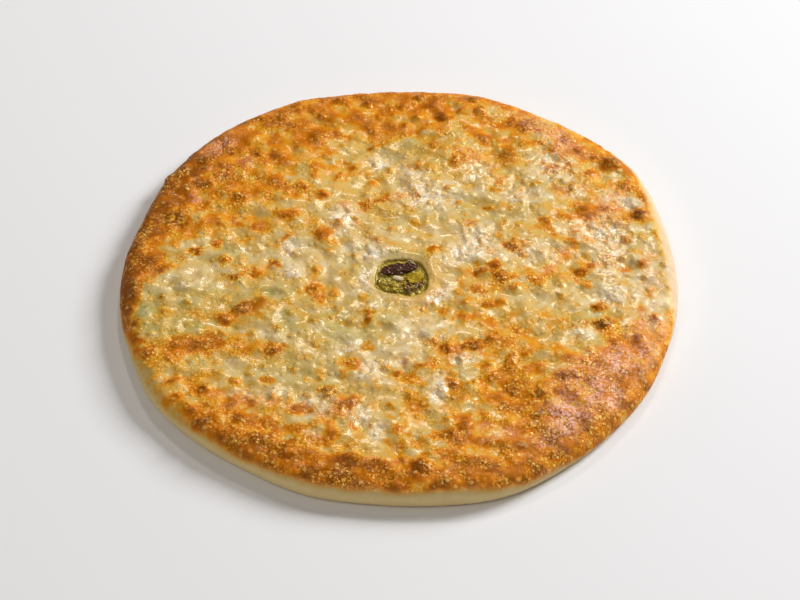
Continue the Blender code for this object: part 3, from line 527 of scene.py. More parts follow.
def blister_domes(x, y, blisters, power=1.0):
    """Height of the tallest dome at each place."""
    domes = np.zeros_like(x)
    for blister in blisters:
        where = near(x, y, blister)
        out = across_oval(x[where], y[where], blister)
        dome = blister[5] * np.clip(1 - out**2, 0, 1) ** power
        domes[where] = np.maximum(domes[where], dome)
    return domes


def fine_relief(x, y):
    """The relief of the part, with wrinkles and smaller blisters on it."""
    domes = blister_domes(x, y, MAIN + SMALL, 1.3)
    lumps = blister_domes(x, y, TINY)
    pale = np.clip(soft_patches(x, y, PALE_PUCKERS), 0, 1)
    ridges = 1 - np.abs(swell(x, y, 10 * MM, 301))
    ridges += 0.6 * (1 - np.abs(swell(x, y, 5 * MM, 302)))
    fine = 0.13 * MM * swell(x, y, 6.5 * MM, 303) + 0.04 * MM * swell(x, y, 3.2 * MM, 304)
    off, _ = from_vent(x, y)
    calm = np.clip((off + 1.0 * MM) / (6 * MM), 0, 1)
    busy = np.clip(0.5 + 0.9 * swell(x, y, 24 * MM, 305), 0.15, 1)
    rough = 0.8 * MM * pale * (ridges - 0.9) + (0.3 + 0.7 * busy) * fine
    return relief(x, y) + (domes + 0.62 * busy * lumps + rough) * calm


def edge_browning(x, y, inward, band):
    """Brownness of a band along the edge, by angle and distance in from the outline."""
    angle = np.degrees(np.arctan2(y, x)) % 360
    stops = np.array(band, float)
    width = np.interp(angle, stops[:, 0], stops[:, 1]) * MM
    width = width * (1 + 0.22 * swell(x, y, 34 * MM, 411) + 0.14 * swell(x, y, 13 * MM, 412))
    amount = np.interp(angle, stops[:, 0], stops[:, 2])
    depth = np.maximum(inward, 0) / np.maximum(width, 3 * MM)
    return amount * np.clip(1.25 - depth**1.6, 0, 1)


def ground_brown(x, y, inward):
    """How brown each place of the crust is, 0 to 1, without its blisters."""
    level = PLAIN_BROWN + edge_browning(x, y, inward, EDGE_BROWNING) + soft_patches(x, y, PATCHES)
    level = np.clip(level, LEAST_BROWN, PATCH_BROWN) + edge_browning(x, y, inward, EDGE_SCORCH)
    level += soft_patches(x, y, SPOTS)
    browned = np.clip((level - 0.36) / 0.20, 0, 1)
    level += 0.05 * swell(x, y, 26 * MM, 421) + (0.05 + 0.06 * browned) * swell(x, y, 12 * MM, 422)
    mottled = np.clip(0.6 + x / (220 * MM) - y / (500 * MM), 0.3, 1.2)
    blots = 0.20 * np.clip(swell(x, y, 15 * MM, 424) - 0.45, 0, 1.2)
    blots += 0.20 * np.clip(swell(x, y, 8 * MM, 425) - 0.6, 0, 1.2)
    return np.clip(level + mottled * blots, LEAST_BROWN, MOST_BROWN)


def browning(x, y, inward):
    """How brown each place of the crust is, 0 to 1, with the tops of its blisters."""
    level = ground_brown(x, y, inward)

    # Brown tops of the larger blisters, with soft and ragged edges.
    warped_x = x + 1.5 * MM * swell(x, y, 8 * MM, 433) + 0.7 * MM * swell(x, y, 3.5 * MM, 434)
    warped_y = y + 1.5 * MM * swell(x, y, 8 * MM, 435) + 0.7 * MM * swell(x, y, 3.5 * MM, 436)
    uneven = 1 + 0.10 * swell(x, y, 3.2 * MM, 437)
    tops = np.zeros_like(x)
    for blister in MAIN + SMALL:
        where = near(x, y, blister, 2.3)
        out = across_oval(warped_x[where], warped_y[where], blister)
        cover = smooth_step(np.clip((1.5 - out) / 1.25, 0, 1))
        if blister in MAIN_SET:
            wish = 0.97 * blister[6]
        else:
            wish = 0.5 * (0.9 * blister[6] + level[where] + 0.16)
        more = np.clip(wish * uneven[where] - level[where], 0, 1)
        tops[where] = np.maximum(tops[where], cover * more)

    # The tiny ones: some a little browner than the dough, others with a pale cap painted as a
    # highlight.
    glint_caps = np.zeros_like(x)
    for blister in TINY:
        where = near(x, y, blister)
        out = across_oval(x[where], y[where], blister)
        cover = np.clip(1 - out**2, 0, 1)
        tops[where] = np.maximum(tops[where], cover * np.clip(0.26 * blister[6] - 0.09, 0, 1))
        if blister[6] < GLINT_CAPPED_SHARE:
            glint_caps[where] = np.maximum(glint_caps[where], cover)
    painted_glint_paling = PAINTED_GLINT_CAP * glint_caps * np.clip((level + tops - 0.30) / 0.15, 0, 1)
    return np.clip(level + tops - painted_glint_paling, 0, 1)


def zip_rows(faces, first, count, second, number, shift_a, shift_b):
    """Joins two closed rows of points, given by their first index and count, with triangles."""
    i = j = 0
    while i < count or j < number:
        next_i = (i + 1 + shift_a) / count
        next_j = (j + 1 + shift_b) / number
        if j >= number or (i < count and next_i <= next_j):
            faces.append((first + i % count, first + (i + 1) % count, second + j % number))
            i += 1
        else:
            faces.append((second + j % number, first + i % count, second + (j + 1) % number))
            j += 1


def write_values(mesh, name, values):
    layer = mesh.attributes.new(name, "FLOAT", "POINT")
    layer.data.foreach_set("value", np.asarray(values, np.float32))


def make_piece(name, points, faces, look, replaced=()):
    mesh = bpy.data.meshes.new(name)
    mesh.from_pydata([tuple(map(float, p)) for p in points], [], faces)
    mesh.update()
    mesh.shade_smooth()
    if look is not None:
        mesh.materials.append(look)
    piece = bpy.data.objects.new(name, mesh)
    bpy.context.scene.collection.objects.link(piece)
    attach(piece, "root")
    if replaced:
        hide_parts(*replaced)
    return piece


def torn(turns):
    """How far the torn edge of the vent strays from its smooth outline."""
    stray = 0.20 * np.sin(9 * turns + 0.7) + 0.14 * np.sin(14 * turns + 2.1)
    return MM * (stray + 0.08 * np.sin(23 * turns + 4.0))


def crust_rows():
    """Places of the top laid flat, in rows from the vent to the foot of the edge, and each
    row's first index, count and shift."""
    way = MEAN_RADIUS - SHOULDER_WIDTH + LIP_LENGTH - VENT_RADIUS
    span = int(round(way / STEP_OUT))
    flat_x = []
    flat_y = []
    rows = []
    total = 0
    for row in range(span + 1):
        t = row / span
        count = max(72, int(round(2 * math.pi * (VENT_RADIUS + t * way) / STEP_ROUND)))
        shift = 0.5 * (row % 2) if 0 < row < span else 0.0
        turns = (np.arange(count) + shift) * (2 * math.pi / count)
        near_in = waved_radius(turns, VENT_RADIUS, VENT_WAVES) + VENT_EDGE + torn(turns)
        far_out = shoulder_start(turns) + LIP_LENGTH
        inner_x = VENT_X + near_in * np.cos(turns)
        inner_y = VENT_Y + near_in * np.sin(turns)
        flat_x.append(inner_x + t * (far_out * np.cos(turns) - inner_x))
        flat_y.append(inner_y + t * (far_out * np.sin(turns) - inner_y))
        rows.append((total, count, shift))
        total += count
    return np.concatenate(flat_x), np.concatenate(flat_y), rows


def crust_readings(x, y, body):
    """What the crust's material reads, by name: the values on the top and the edge, and the
    single values on the vent's wall and beneath."""
    angle = np.arctan2(y, x)
    start = shoulder_start(angle)
    past = np.clip(np.hypot(x, y) - start, 0, LIP_LENGTH)
    inward = start + SHOULDER_WIDTH - np.hypot(body[:, 0], body[:, 1])
    bake = browning(x, y, inward)

    # Below the browned shoulder the edge stays pale, except along the back left.
    begins = np.interp(np.degrees(angle) % 360, *np.array(PALE_SIDE, float).T) * MM
    ragged = 0.9 * MM * swell(x, y, 26 * MM, 441) + 0.25 * MM * swell(x, y, 9 * MM, 442)
    side = smooth_step(np.clip((past - begins + ragged) / (6.5 * MM), 0, 1))
    bake = bake * (1 - side) + side * SIDE_BROWN
    under = np.clip((past - (LIP_LENGTH - 5 * MM)) / (4 * MM), 0, 1)
    bake = bake + under * np.clip(BENEATH_BROWN - bake, -1, 1)

    # Round the vent the dough is pale, peach on one side and wet at the very edge.
    off, around = from_vent(x, y)
    facing = np.cos(around + math.radians(42))
    peach = np.exp(-(((off - RING_AT) / (3.4 * MM)) ** 2)) * np.clip(1.4 * facing, 0, 1)
    juice = np.clip(0.42 - (off - VENT_EDGE) / (4.0 * MM), 0, 0.4)
    away = np.clip(off / (9 * MM), 0, 1)
    bake = bake * away + (1 - away) * (0.24 + 0.12 * facing)
    calm = np.clip(off / (4 * MM), 0.2, 1)

    green = np.clip(soft_patches(x, y, GREENS) + 0.10 * swell(x, y, 14 * MM, 451), 0, 1)
    pale = np.clip(soft_patches(x, y, PALE_PUCKERS) + 0.12 * swell(x, y, 9 * MM, 452), 0, 1)
    shoulder = np.clip((past + 2 * MM) / (9 * MM), 0, 1) * (past > 0)
    # A pinkish sheen painted on in patches, in place of the lamps' reflection.
    painted_sheen = np.clip(soft_patches(x, y, PAINTED_SHEEN_PATCHES), 0, 1)
    # A pinkish sheen painted on the pale side where it faces right, toward the lamps.
    rosy_painted_sheen = side * np.clip(1.6 * np.cos(angle - math.radians(8)) - 0.3, 0, 1)
    smooth = np.clip(soft_patches(x, y, SMOOTH), 0, 0.8)
    return {
        "bake": (bake, 0.25, BENEATH_BROWN),
        "green": (green * calm, 0.2, 0.0),
        "pucker": (pale * calm, 0.0, 0.0),
        "side": (side, 0.0, 0.0),
        "peach": (peach, 0.2, 0.0),
        "juice": (juice, 1.0, 0.0),
        "shoulder": (shoulder, 0.0, 1.0),
        "painted_sheen": (painted_sheen, 0.0, 0.0),
        "rosy_painted_sheen": (rosy_painted_sheen, 0.0, 0.0),
        "smooth": (smooth, 0.0, 0.0),
    }


# Rings down the vent's wall: how far in over its rounded edge (0 to 1), and the height (mm)
# of those below it.
WALL_RINGS = ((0.55, None), (0.85, None), (1.0, None), (1.0, 13.0), (1.0, 12.2), (1.0, 11.3))
WALL_RINGS += ((1.0, 10.3), (1.0, 8.5), (1.0, 3.0))

# How wet the first of those rings are.
JUICE_DOWN = (0.4, 0.45, 0.6, 0.85, 1.0)

# Rows of the underside, ever coarser: share of its radius, and number of points.
UNDER_ROWS = ((0.985, 460), (0.96, 230), (0.88, 115), (0.7, 70), (0.4, 36))


def vent_wall(lip, start, faces):
    """Points over the vent's thin edge, down its wall and at the middle of its floor. lip is
    the crust's first row, and start the index of the first new point."""
    count = len(lip)
    turns = np.arange(count) * (2 * math.pi / count)
    vent = waved_radius(turns, VENT_RADIUS, VENT_WAVES)
    points = []
    above = 0
    for inward_by, level in WALL_RINGS:
        reach = vent + VENT_EDGE * (1 - inward_by) + torn(turns)
        z = lip[:, 2] - VENT_EDGE * (1 - math.sqrt(max(0.0, 1 - inward_by**2)))
        if level is not None:
            z = np.minimum(z, level * MM)
        points.append(np.stack([VENT_X + reach * np.cos(turns), VENT_Y + reach * np.sin(turns), z], 1))
        for i in range(count):
            j = (i + 1) % count
            faces.append((above + i, above + j, start + j))
            faces.append((above + i, start + j, start + i))
        above = start
        start += count
    for i in range(count):
        faces.append((start, above + i, above + (i + 1) % count))
    return np.concatenate([*points, [[VENT_X, VENT_Y, VENT_FLOOR]]])


def underside(last, start, faces):
    """Points of the flat underside. last is the crust's last row, and start the index of the
    first new point."""
    points = []
    for scale, number in UNDER_ROWS:
        turns = np.arange(number) * (2 * math.pi / number)
        reach = (waved_radius(turns, MEAN_RADIUS, OUTLINE_WAVES) - FOOT_WIDTH) * scale
        points.append(np.stack([reach * np.cos(turns), reach * np.sin(turns), 0 * turns], 1))
        zip_rows(faces, start, number, last[0], last[1], 0.0, last[2])
        last = (start, number, 0.0)
        start += number
    first, count, _ = last
    for i in range(count):
        faces.append((start, first + (i + 1) % count, first + i))
    return np.concatenate([*points, [[0.0, 0.0, 0.0]]])


def fine_crust(look):
    """The crust at full detail, with what its material reads written on its points."""
    x, y, rows = crust_rows()
    body = lay_heights(x, y, fine_relief(x, y))
    faces = []
    for (first, count, shift), (second, number, next_shift) in zip(rows, rows[1:]):
        zip_rows(faces, second, number, first, count, next_shift, shift)
    round_vent = rows[0][1]
    wall = vent_wall(body[:round_vent], len(body), faces)
    under = underside(rows[-1], len(body) + len(wall), faces)
    points = np.concatenate([body, wall, under])
    piece = make_piece("crust_skin", points, faces, look, ("crust",))
    for name, (own, on_wall, beneath) in crust_readings(x, y, body).items():
        down_wall = np.full(len(wall), on_wall)
        if name == "juice":
            down_wall[: len(JUICE_DOWN) * round_vent] = np.repeat(JUICE_DOWN, round_vent)
        full = np.concatenate([own, down_wall, np.full(len(under), beneath)])
        write_values(piece.data, name, full)


def lay_heights(x, y, bump):
    """Takes places of the top laid flat, with a height on each, to the pie's surface."""
    angle = np.arctan2(y, x)
    reach = np.hypot(x, y)
    start = shoulder_start(angle)
    past = np.clip(reach - start, 0, LIP_LENGTH)
    out = np.where(reach > start, start + np.interp(past, LIP_PATH, LIP_OUT), reach)
    height = np.interp(past, LIP_PATH, LIP_HEIGHT)

    # The surface's slope, to lift the bumps square to it. The bumps fade out at the foot.
    ahead = past + 0.2 * MM
    behind = past - 0.2 * MM
    rise = np.interp(ahead, LIP_PATH, LIP_HEIGHT) - np.interp(behind, LIP_PATH, LIP_HEIGHT)
    run = np.interp(ahead, LIP_PATH, LIP_OUT) - np.interp(behind, LIP_PATH, LIP_OUT)
    run = np.where(past > 0, run, 1.0)
    rise = np.where(past > 0, rise, 0.0)
    length = np.hypot(run, rise)
    bump = bump * np.clip((LIP_LENGTH - past) / (15 * MM), 0, 1)
    out = out - rise / length * bump
    height = height + run / length * bump
    return np.stack([out * np.cos(angle), out * np.sin(angle), height], axis=1)


# ---------------------------------------------------------------- materials


def linear(red, green, blue):
    """A colour given in 8-bit display values, as linear light."""
    made = []
    for value in (red, green, blue):
        v = value / 255
        made.append(v / 12.92 if v <= 0.04045 else ((v + 0.055) / 1.055) ** 2.4)
    return (*made, 1.0)


class Look:
    """Builds one node material, step by step."""

    def __init__(self, name):
        self.material = bpy.data.materials.new(name)
        self.material.use_nodes = True
        self.tree = self.material.node_tree
        self.shader = self.tree.nodes["Principled BSDF"]
        self.place = self.add("ShaderNodeTexCoord").outputs["Object"]

    def add(self, kind, **settings):
        node = self.tree.nodes.new(kind)
        for key, value in settings.items():
            setattr(node, key, value)
        return node

    def wire(self, source, socket):
        if isinstance(source, (int, float, tuple)):
            socket.default_value = source
        else:
            self.tree.links.new(source, socket)

    def value(self, name):
        return self.add("ShaderNodeAttribute", attribute_name=name).outputs["Fac"]

    def noise(self, size, detail=3.0, rough=0.55, seed=0.0):
        node = self.add("ShaderNodeTexNoise", noise_dimensions="4D")
        self.wire(self.place, node.inputs["Vector"])
        node.inputs["W"].default_value = seed
        node.inputs["Scale"].default_value = 1 / size
        node.inputs["Detail"].default_value = detail
        node.inputs["Roughness"].default_value = rough
        return node.outputs["Fac"]

    def domes(self, size, shuffle):
        """Round domes on a scattered grid, each of its own random height, 0 to 1."""
        node = self.add("ShaderNodeTexVoronoi", feature="F1")
        self.wire(self.place, node.inputs["Vector"])
        node.inputs["Scale"].default_value = 1 / size
        node.inputs["Randomness"].default_value = shuffle
        split = self.add("ShaderNodeSeparateColor")
        self.wire(node.outputs["Color"], split.inputs["Color"])
        across = self.times(node.outputs["Distance"], 2.3)
        dome = self.math("SUBTRACT", 1.0, self.times(across, across), clamp=True)
        return self.times(dome, split.outputs["Red"])

    def math(self, kind, first, second=0.0, third=None, clamp=False):
        node = self.add("ShaderNodeMath", operation=kind, use_clamp=clamp)
        self.wire(first, node.inputs[0])
        self.wire(second, node.inputs[1])
        if third is not None:
            self.wire(third, node.inputs[2])
        return node.outputs[0]

    def times(self, first, *others, clamp=False):
        for other in others:
            first = self.math("MULTIPLY", first, other, clamp=clamp)
        return first

    def spread(self, source, low, high, to_low=0.0, to_high=1.0):
        node = self.add("ShaderNodeMapRange", clamp=True)
        self.wire(source, node.inputs["Value"])
        node.inputs["From Min"].default_value = low
        node.inputs["From Max"].default_value = high
        node.inputs["To Min"].default_value = to_low
        node.inputs["To Max"].default_value = to_high
        return node.outputs["Result"]

    def ramp(self, source, stops):
        node = self.add("ShaderNodeValToRGB")
        ramp = node.color_ramp
        while len(ramp.elements) < len(stops):
            ramp.elements.new(0.5)
        for element, (place, _) in zip(ramp.elements, stops):
            element.position = place
        for element, (_, colour) in zip(ramp.elements, stops):
            element.color = linear(*colour)
        self.wire(source, node.inputs["Fac"])
        return node.outputs["Color"]

    def mix(self, amount, first, second, kind="MIX"):
        node = self.add("ShaderNodeMix", data_type="RGBA", blend_type=kind)
        self.wire(amount, node.inputs["Factor"])
        self.wire(first, node.inputs["A"])
        self.wire(second, node.inputs["B"])
        return node.outputs["Result"]

    def over(self, below, cover, amount, shade):
        """Lays one even colour over what is below, by how far it covers times an amount."""
        return self.mix(self.times(cover, amount), below, linear(*shade))

    def bump(self, height, distance, strength, onto=None):
        node = self.add("ShaderNodeBump")
        self.wire(height, node.inputs["Height"])
        node.inputs["Distance"].default_value = distance
        self.wire(strength, node.inputs["Strength"])
        if onto is not None:
            self.wire(onto, node.inputs["Normal"])
        return node.outputs["Normal"]

    def tumble(self, normal, size, amount, seed):
        """Tilts a normal at random from grain to grain."""
        node = self.add("ShaderNodeTexNoise", noise_dimensions="4D")
        self.wire(self.place, node.inputs["Vector"])
        node.inputs["W"].default_value = seed
        node.inputs["Scale"].default_value = 1 / size
        node.inputs["Detail"].default_value = 1.5
        offset = self.add("ShaderNodeVectorMath", operation="SUBTRACT")
        self.wire(node.outputs["Color"], offset.inputs[0])
        offset.inputs[1].default_value = (0.5, 0.5, 0.5)
        scaled = self.add("ShaderNodeVectorMath", operation="SCALE")
        self.wire(offset.outputs["Vector"], scaled.inputs[0])
        self.wire(amount, scaled.inputs["Scale"])
        added = self.add("ShaderNodeVectorMath", operation="ADD")
        self.wire(normal, added.inputs[0])
        self.wire(scaled.outputs["Vector"], added.inputs[1])
        unit = self.add("ShaderNodeVectorMath", operation="NORMALIZE")
        self.wire(added.outputs["Vector"], unit.inputs[0])
        return unit.outputs["Vector"]

    def finish(self, colour, roughness, normal=None, **sockets):
        self.wire(colour, self.shader.inputs["Base Color"])
        self.wire(roughness, self.shader.inputs["Roughness"])
        if normal is not None:
            self.wire(normal, self.shader.inputs["Normal"])
        for name, value in sockets.items():
            self.shader.inputs[name.replace("_", " ")].default_value = value
        return self.material


# Dough from unbaked to darkest, display colours.
BAKE_STOPS = (
    (0.00, (240, 222, 182)),
    (0.20, (216, 188, 128)),
    (0.34, (214, 173, 86)),
    (0.48, (223, 150, 24)),
    (0.60, (210, 119, 4)),
    (0.72, (189, 105, 3)),
    (0.86, (152, 80, 4)),
    (1.00, (114, 54, 8)),
)

# The greens under thin dough, and the vent's wet wall, from dark to light.
GREEN_STOPS = (
    (0.30, (128, 120, 48)),
    (0.45, (162, 152, 78)),
    (0.60, (192, 182, 112)),
    (0.75, (208, 200, 146)),
)
WALL_STOPS = ((0.3, (140, 118, 14)), (0.7, (206, 186, 84)))


def crowding(look, bake, pucker, off_side, smooth):
    """Pin blisters stand in crowds, most of them where the dough is browned."""
    crowd = look.spread(look.noise(15 * MM, 3.0, 0.6, 4.0), 0.43, 0.58, 0.10, 1.0)
    crowd = look.times(crowd, look.spread(bake, 0.26, 0.46, 0.12, 1.0))
    crowd = look.math("MAXIMUM", crowd, look.times(pucker, 0.6))
    return look.times(crowd, off_side, look.spread(smooth, 0.0, 1.0, 1.0, 0.0))


def dough_colour(look, bake, side):
    """The dough by how brown it is. Fine variation matters most where it is browned."""
    vary = look.math("MULTIPLY_ADD", look.noise(9 * MM, 4.0, 0.6, 1.0), 0.26, -0.13)
    mottle = look.math("MULTIPLY_ADD", look.noise(3.4 * MM, 3.0, 0.55, 3.0), 0.22, -0.11)
    grain = look.math("MULTIPLY_ADD", look.noise(1.3 * MM, 2.0, 0.55, 2.0), 0.18, -0.09)
    vary = look.math("ADD", look.math("ADD", vary, mottle), grain)
    vary = look.times(
        vary,
        look.spread(bake, 0.15, 0.5, 0.55, 1.0),
        look.spread(bake, 0.46, 0.62, 1.0, 0.6),
        look.spread(side, 0.0, 0.8, 1.0, 0.3),
    )
    return look.ramp(look.math("ADD", bake, vary, clamp=True), BAKE_STOPS)


def show_greens(look, colour, bake, green):
    """The greens of the filling show through where the dough is thin."""
    greens = look.ramp(look.noise(5 * MM, 4.0, 0.65, 5.0), GREEN_STOPS)
    shown = look.times(green, look.spread(bake, 0.30, 0.66, 1.0, 0.1))
    through = look.spread(look.noise(13 * MM, 3.0, 0.6, 6.0), 0.36, 0.60, 0.2, 0.95)
    colour = look.mix(look.times(shown, through), colour, greens)
    olive = look.times(green, look.spread(bake, 0.36, 0.56, 0.0, 0.9), clamp=True)
    return look.mix(olive, colour, linear(222, 246, 190), "MULTIPLY")


def show_puckers_with_painted_light(look, colour, bake, pucker, wrinkle):
    """The pale puckers, streaked along their wrinkles: their white is partly a painted highlight,
    and it thins in the creases as painted shade.
    """
    streaks_and_crease_shade = look.spread(look.noise(5 * MM, 3.0, 0.55, 7.0), 0.36, 0.54, 0.48, 1.0)
    streaks_and_crease_shade = look.times(streaks_and_crease_shade, look.spread(wrinkle, 0.02, 0.16, 0.35, 1.0))
    pale_and_painted_glint = look.times(pucker, look.spread(bake, 0.30, 0.66, 1.0, 0.15))
    return look.over(colour, pale_and_painted_glint, streaks_and_crease_shade, (255, 242, 219))


def crust_look():
    """The baked dough, from what is written on the crust's points."""
    look = Look("baked_dough")
    bake = look.value("bake")
    green = look.value("green")
    pucker = look.value("pucker")
    side = look.value("side")
    peach = look.value("peach")
    juice = look.value("juice")
    shoulder = look.value("shoulder")
    painted_sheen = look.value("painted_sheen")
    rosy_painted_sheen = look.value("rosy_painted_sheen")
    smooth = look.value("smooth")
    off_side = look.spread(side, 0.0, 0.8, 1.0, 0.0)
    crowd = crowding(look, bake, pucker, off_side, smooth)
    pins = look.domes(1.5 * MM, 1.0)
    beads = look.domes(2.4 * MM, 0.95)
    drops = look.domes(4.4 * MM, 1.0)
    wrinkle = look.math("MULTIPLY_ADD", look.noise(7 * MM, 3.0, 0.45, 13.0), 2.0, -1.0)
    wrinkle = look.math("ABSOLUTE", wrinkle)

    colour = dough_colour(look, bake, side)
    colour = show_greens(look, colour, bake, green)
    colour = show_puckers_with_painted_light(look, colour, bake, pucker, wrinkle)

    # The pale side, its rosy right (a painted sheen), the peach ring and the wet wall of the vent.
    colour = look.over(colour, side, 0.55, (232, 208, 152))
    colour = look.over(colour, rosy_painted_sheen, 0.85, (210, 185, 158))
    colour = look.over(colour, peach, 0.35, (230, 186, 126))
    colour = look.mix(juice, colour, look.ramp(look.noise(3 * MM, 3.0, 0.6, 8.0), WALL_STOPS))

    # Painted glints: bright flecks, pearls and drops painted on the browned top.
    painted_glint_flecks = look.spread(look.noise(1.9 * MM, 1.0, 0.5, 14.0), 0.55, 0.63)
    painted_glint_flecks = look.math("MAXIMUM", painted_glint_flecks, look.spread(pins, 0.25, 0.50))
    colour = look.over(colour, look.times(painted_glint_flecks, crowd), 0.5, (252, 194, 68))
    painted_glint_pearls = look.times(look.spread(beads, 0.24, 0.46), crowd)
    colour = look.over(colour, painted_glint_pearls, 0.66, (255, 214, 116))
    painted_glint_drops = look.times(
        look.spread(drops, 0.28, 0.80),
        look.spread(bake, 0.24, 0.44, 0.2, 1.0),
        off_side,
        look.spread(smooth, 0.0, 1.0, 1.0, 0.2),
    )
    colour = look.over(colour, painted_glint_drops, 0.5, (252, 202, 108))

    # A painted sheen on the butter, in fine pinkish specks.
    painted_sheen_specks = look.spread(look.noise(1.3 * MM, 1.0, 0.5, 16.0), 0.40, 0.60)
    patchy = look.spread(look.noise(10 * MM, 3.0, 0.6, 17.0), 0.36, 0.52, 0.15, 1.0)
    colour = look.over(colour, look.times(painted_sheen, painted_sheen_specks, patchy), 0.85, (250, 196, 180))

    # How dull the crust is.
    rough = look.spread(look.noise(9 * MM, 3.0, 0.6, 11.0), 0.3, 0.7, 0.22, 0.36)
    rough = look.math("MULTIPLY_ADD", shoulder, 0.30, rough)
    rough = look.math("SUBTRACT", rough, look.times(pucker, 0.10))
    rough = look.math("ADD", rough, look.times(side, 0.20), clamp=True)

    # How bumpy it is.
    fine = look.math("MULTIPLY_ADD", pins, 0.55, look.times(beads, 0.6))
    fine = look.math("MULTIPLY_ADD", fine, crowd, look.times(drops, 0.8))
    fine = look.math("MULTIPLY_ADD", look.noise(4.5 * MM, 2.0, 0.5, 12.0), 0.25, fine)
    normal = look.bump(fine, 0.62 * MM, look.spread(side, 0.0, 1.0, 0.9, 0.2))
    normal = look.bump(wrinkle, 0.9 * MM, look.times(pucker, 0.9), normal)
    grains = look.math("MULTIPLY_ADD", crowd, 1.45, look.spread(side, 0.0, 1.0, 0.25, 0.10))
    grains = look.math("MULTIPLY_ADD", pucker, -0.40, grains, clamp=True)
    normal = look.tumble(normal, 1.5 * MM, grains, 15.0)

    # How wet it is.
    wet = look.spread(bake, 0.32, 0.58, 0.44, 0.04)
    wet = look.math("MULTIPLY_ADD", pucker, 0.40, wet)
    wet = look.times(wet, look.spread(shoulder, 0.0, 1.0, 1.0, 0.12), clamp=True)
    look.wire(wet, look.shader.inputs["Coat Weight"])
    return look.finish(
        colour,
        rough,
        normal,
        Coat_Roughness=0.18,
        Specular_IOR_Level=0.52,
        Specular_Tint=(1.0, 0.72, 0.22, 1.0),
        Subsurface_Weight=0.08,
        Subsurface_Scale=0.004,
        IOR=1.45,
    )


def filling_look():
    look = Look("chopped_filling")
    patchy = look.noise(4 * MM, 4.0, 0.65, 21.0)
    grain = look.noise(1.0 * MM, 3.0, 0.6, 22.0)
    shade = look.math("ADD", patchy, look.math("MULTIPLY_ADD", grain, 0.4, -0.2))
    colour = look.ramp(
        shade,
        (
            (0.28, (78, 54, 6)),
            (0.40, (126, 98, 10)),
            (0.52, (164, 136, 18)),
            (0.64, (192, 168, 56)),
            (0.80, (220, 202, 120)),
        ),
    )
    normal = look.bump(grain, 0.35 * MM, 0.8)
    return look.finish(
        colour,
        0.42,
        normal,
        Coat_Weight=0.2,
        Coat_Roughness=0.2,
        Specular_Tint=(1.0, 0.88, 0.55, 1.0),
        Subsurface_Weight=0.1,
        Subsurface_Scale=0.002,
    )


def plain_look(name, stops, size, roughness, seed, bump, coat):
    look = Look(name)
    tone = look.noise(size, 4.0, 0.6, seed)
    colour = look.ramp(tone, stops)
    grain = look.noise(size / 3, 2.0, 0.5, seed + 1)
    normal = look.bump(grain, 0.3 * MM, bump)
    return look.finish(
        colour,
        roughness,
        normal,
        Coat_Weight=coat,
        Coat_Roughness=0.16,
        Specular_IOR_Level=0.4,
        Specular_Tint=(1.0, 0.86, 0.62, 1.0),
        Subsurface_Weight=0.08,
        Subsurface_Scale=0.002,
    )


# ---------------------------------------------------------------- what stands in the vent
# Pieces of the filling that stand out of it, all fused to it: x, y, the middle's height over
# the filling's top, half sizes, turn (mm, degrees).
FILLING_PIECES = (
    (-7.8, 8.4, 0.2, 2.6, 1.8, 1.0, 35),
    (-10.9, 5.2, 0.1, 1.8, 1.4, 0.9, 60),
    (-4.6, 11.2, 0.1, 2.2, 1.4, 0.9, 20),
    (-9.4, -4.4, 0.8, 3.4, 1.9, 1.3, -25),
    (-3.9, -5.8, 0.9, 3.2, 1.9, 1.4, -20),
    (-11.4, -1.6, 0.3, 1.9, 1.6, 1.1, 10),
    (-8.6, -7.8, 0.5, 2.6, 1.6, 1.1, -30),
    (-4.2, -9.4, 0.6, 2.8, 1.7, 1.2, 10),
    (0.2, -10.4, 0.3, 2.4, 1.5, 1.0, -10),
    (4.4, -8.6, 0.5, 2.1, 1.8, 1.3, 0),
    (8.2, -7.8, 0.6, 2.3, 1.8, 1.3, 30),
    (12.0, -6.4, 0.3, 1.9, 1.6, 1.1, 50),
    (6.2, -12.2, 0.2, 2.3, 1.5, 1.0, 10),
    (9.8, -10.4, 0.2, 2.0, 1.5, 1.0, -30),
    (2.2, -5.6, 0.3, 1.6, 1.3, 1.0, 0),
    (14.0, -2.6, 0.1, 1.4, 1.8, 0.9, 0),
)

# How many rings the filling's top is made of, and how far it stays off the vent's wall.
FILLING_RINGS = 44
FILLING_GAP = 0.05 * MM

# How much of the part's own box a finer piece fills.
WITHIN_BOX = 0.985

# How far the small bits keep from the vent's outline, and how high their middles lie over
# the filling.
BITS_OFF_WALL = 2.2 * MM
BITS_LIFT = 0.25 * MM

# The thin pale stem: places along it (mm), and how many sides it has.
STEM_PATH = (
    (4.0, 12.6, 14.6),
    (5.2, 12.4, 15.2),
    (6.6, 11.7, 15.5),
    (8.0, 10.7, 15.2),
    (9.2, 9.5, 14.2),
)
STEM_SIDES = 8

# Where the brown crumbs lie, most of them and a few: ovals in millimetres and degrees.
BROWN_HEAP = (8.8, -8.2, 8.6, 5.8, 10)
UPPER_LEFT = (-8.5, 7.5, 6.0, 5.0, 30)


def lump(size, turn, seed, rough, rounds):
    """A rough rounded lump of these half sizes, as (points, faces)."""
    body = bmesh.new()
    bmesh.ops.create_icosphere(body, subdivisions=rounds, radius=1.0)
    dice = random.Random(seed)
    for vertex in body.verts:
        vertex.co *= 1 + dice.uniform(-rough, rough)
        vertex.co = Vector([vertex.co[axis] * size[axis] for axis in range(3)])
    bmesh.ops.rotate(body, verts=body.verts, matrix=Matrix.Rotation(math.radians(turn), 3, "Z"))
    body.verts.index_update()
    points = [vertex.co.copy() for vertex in body.verts]
    faces = [[vertex.index for vertex in face.verts] for face in body.faces]
    body.free()
    return points, faces


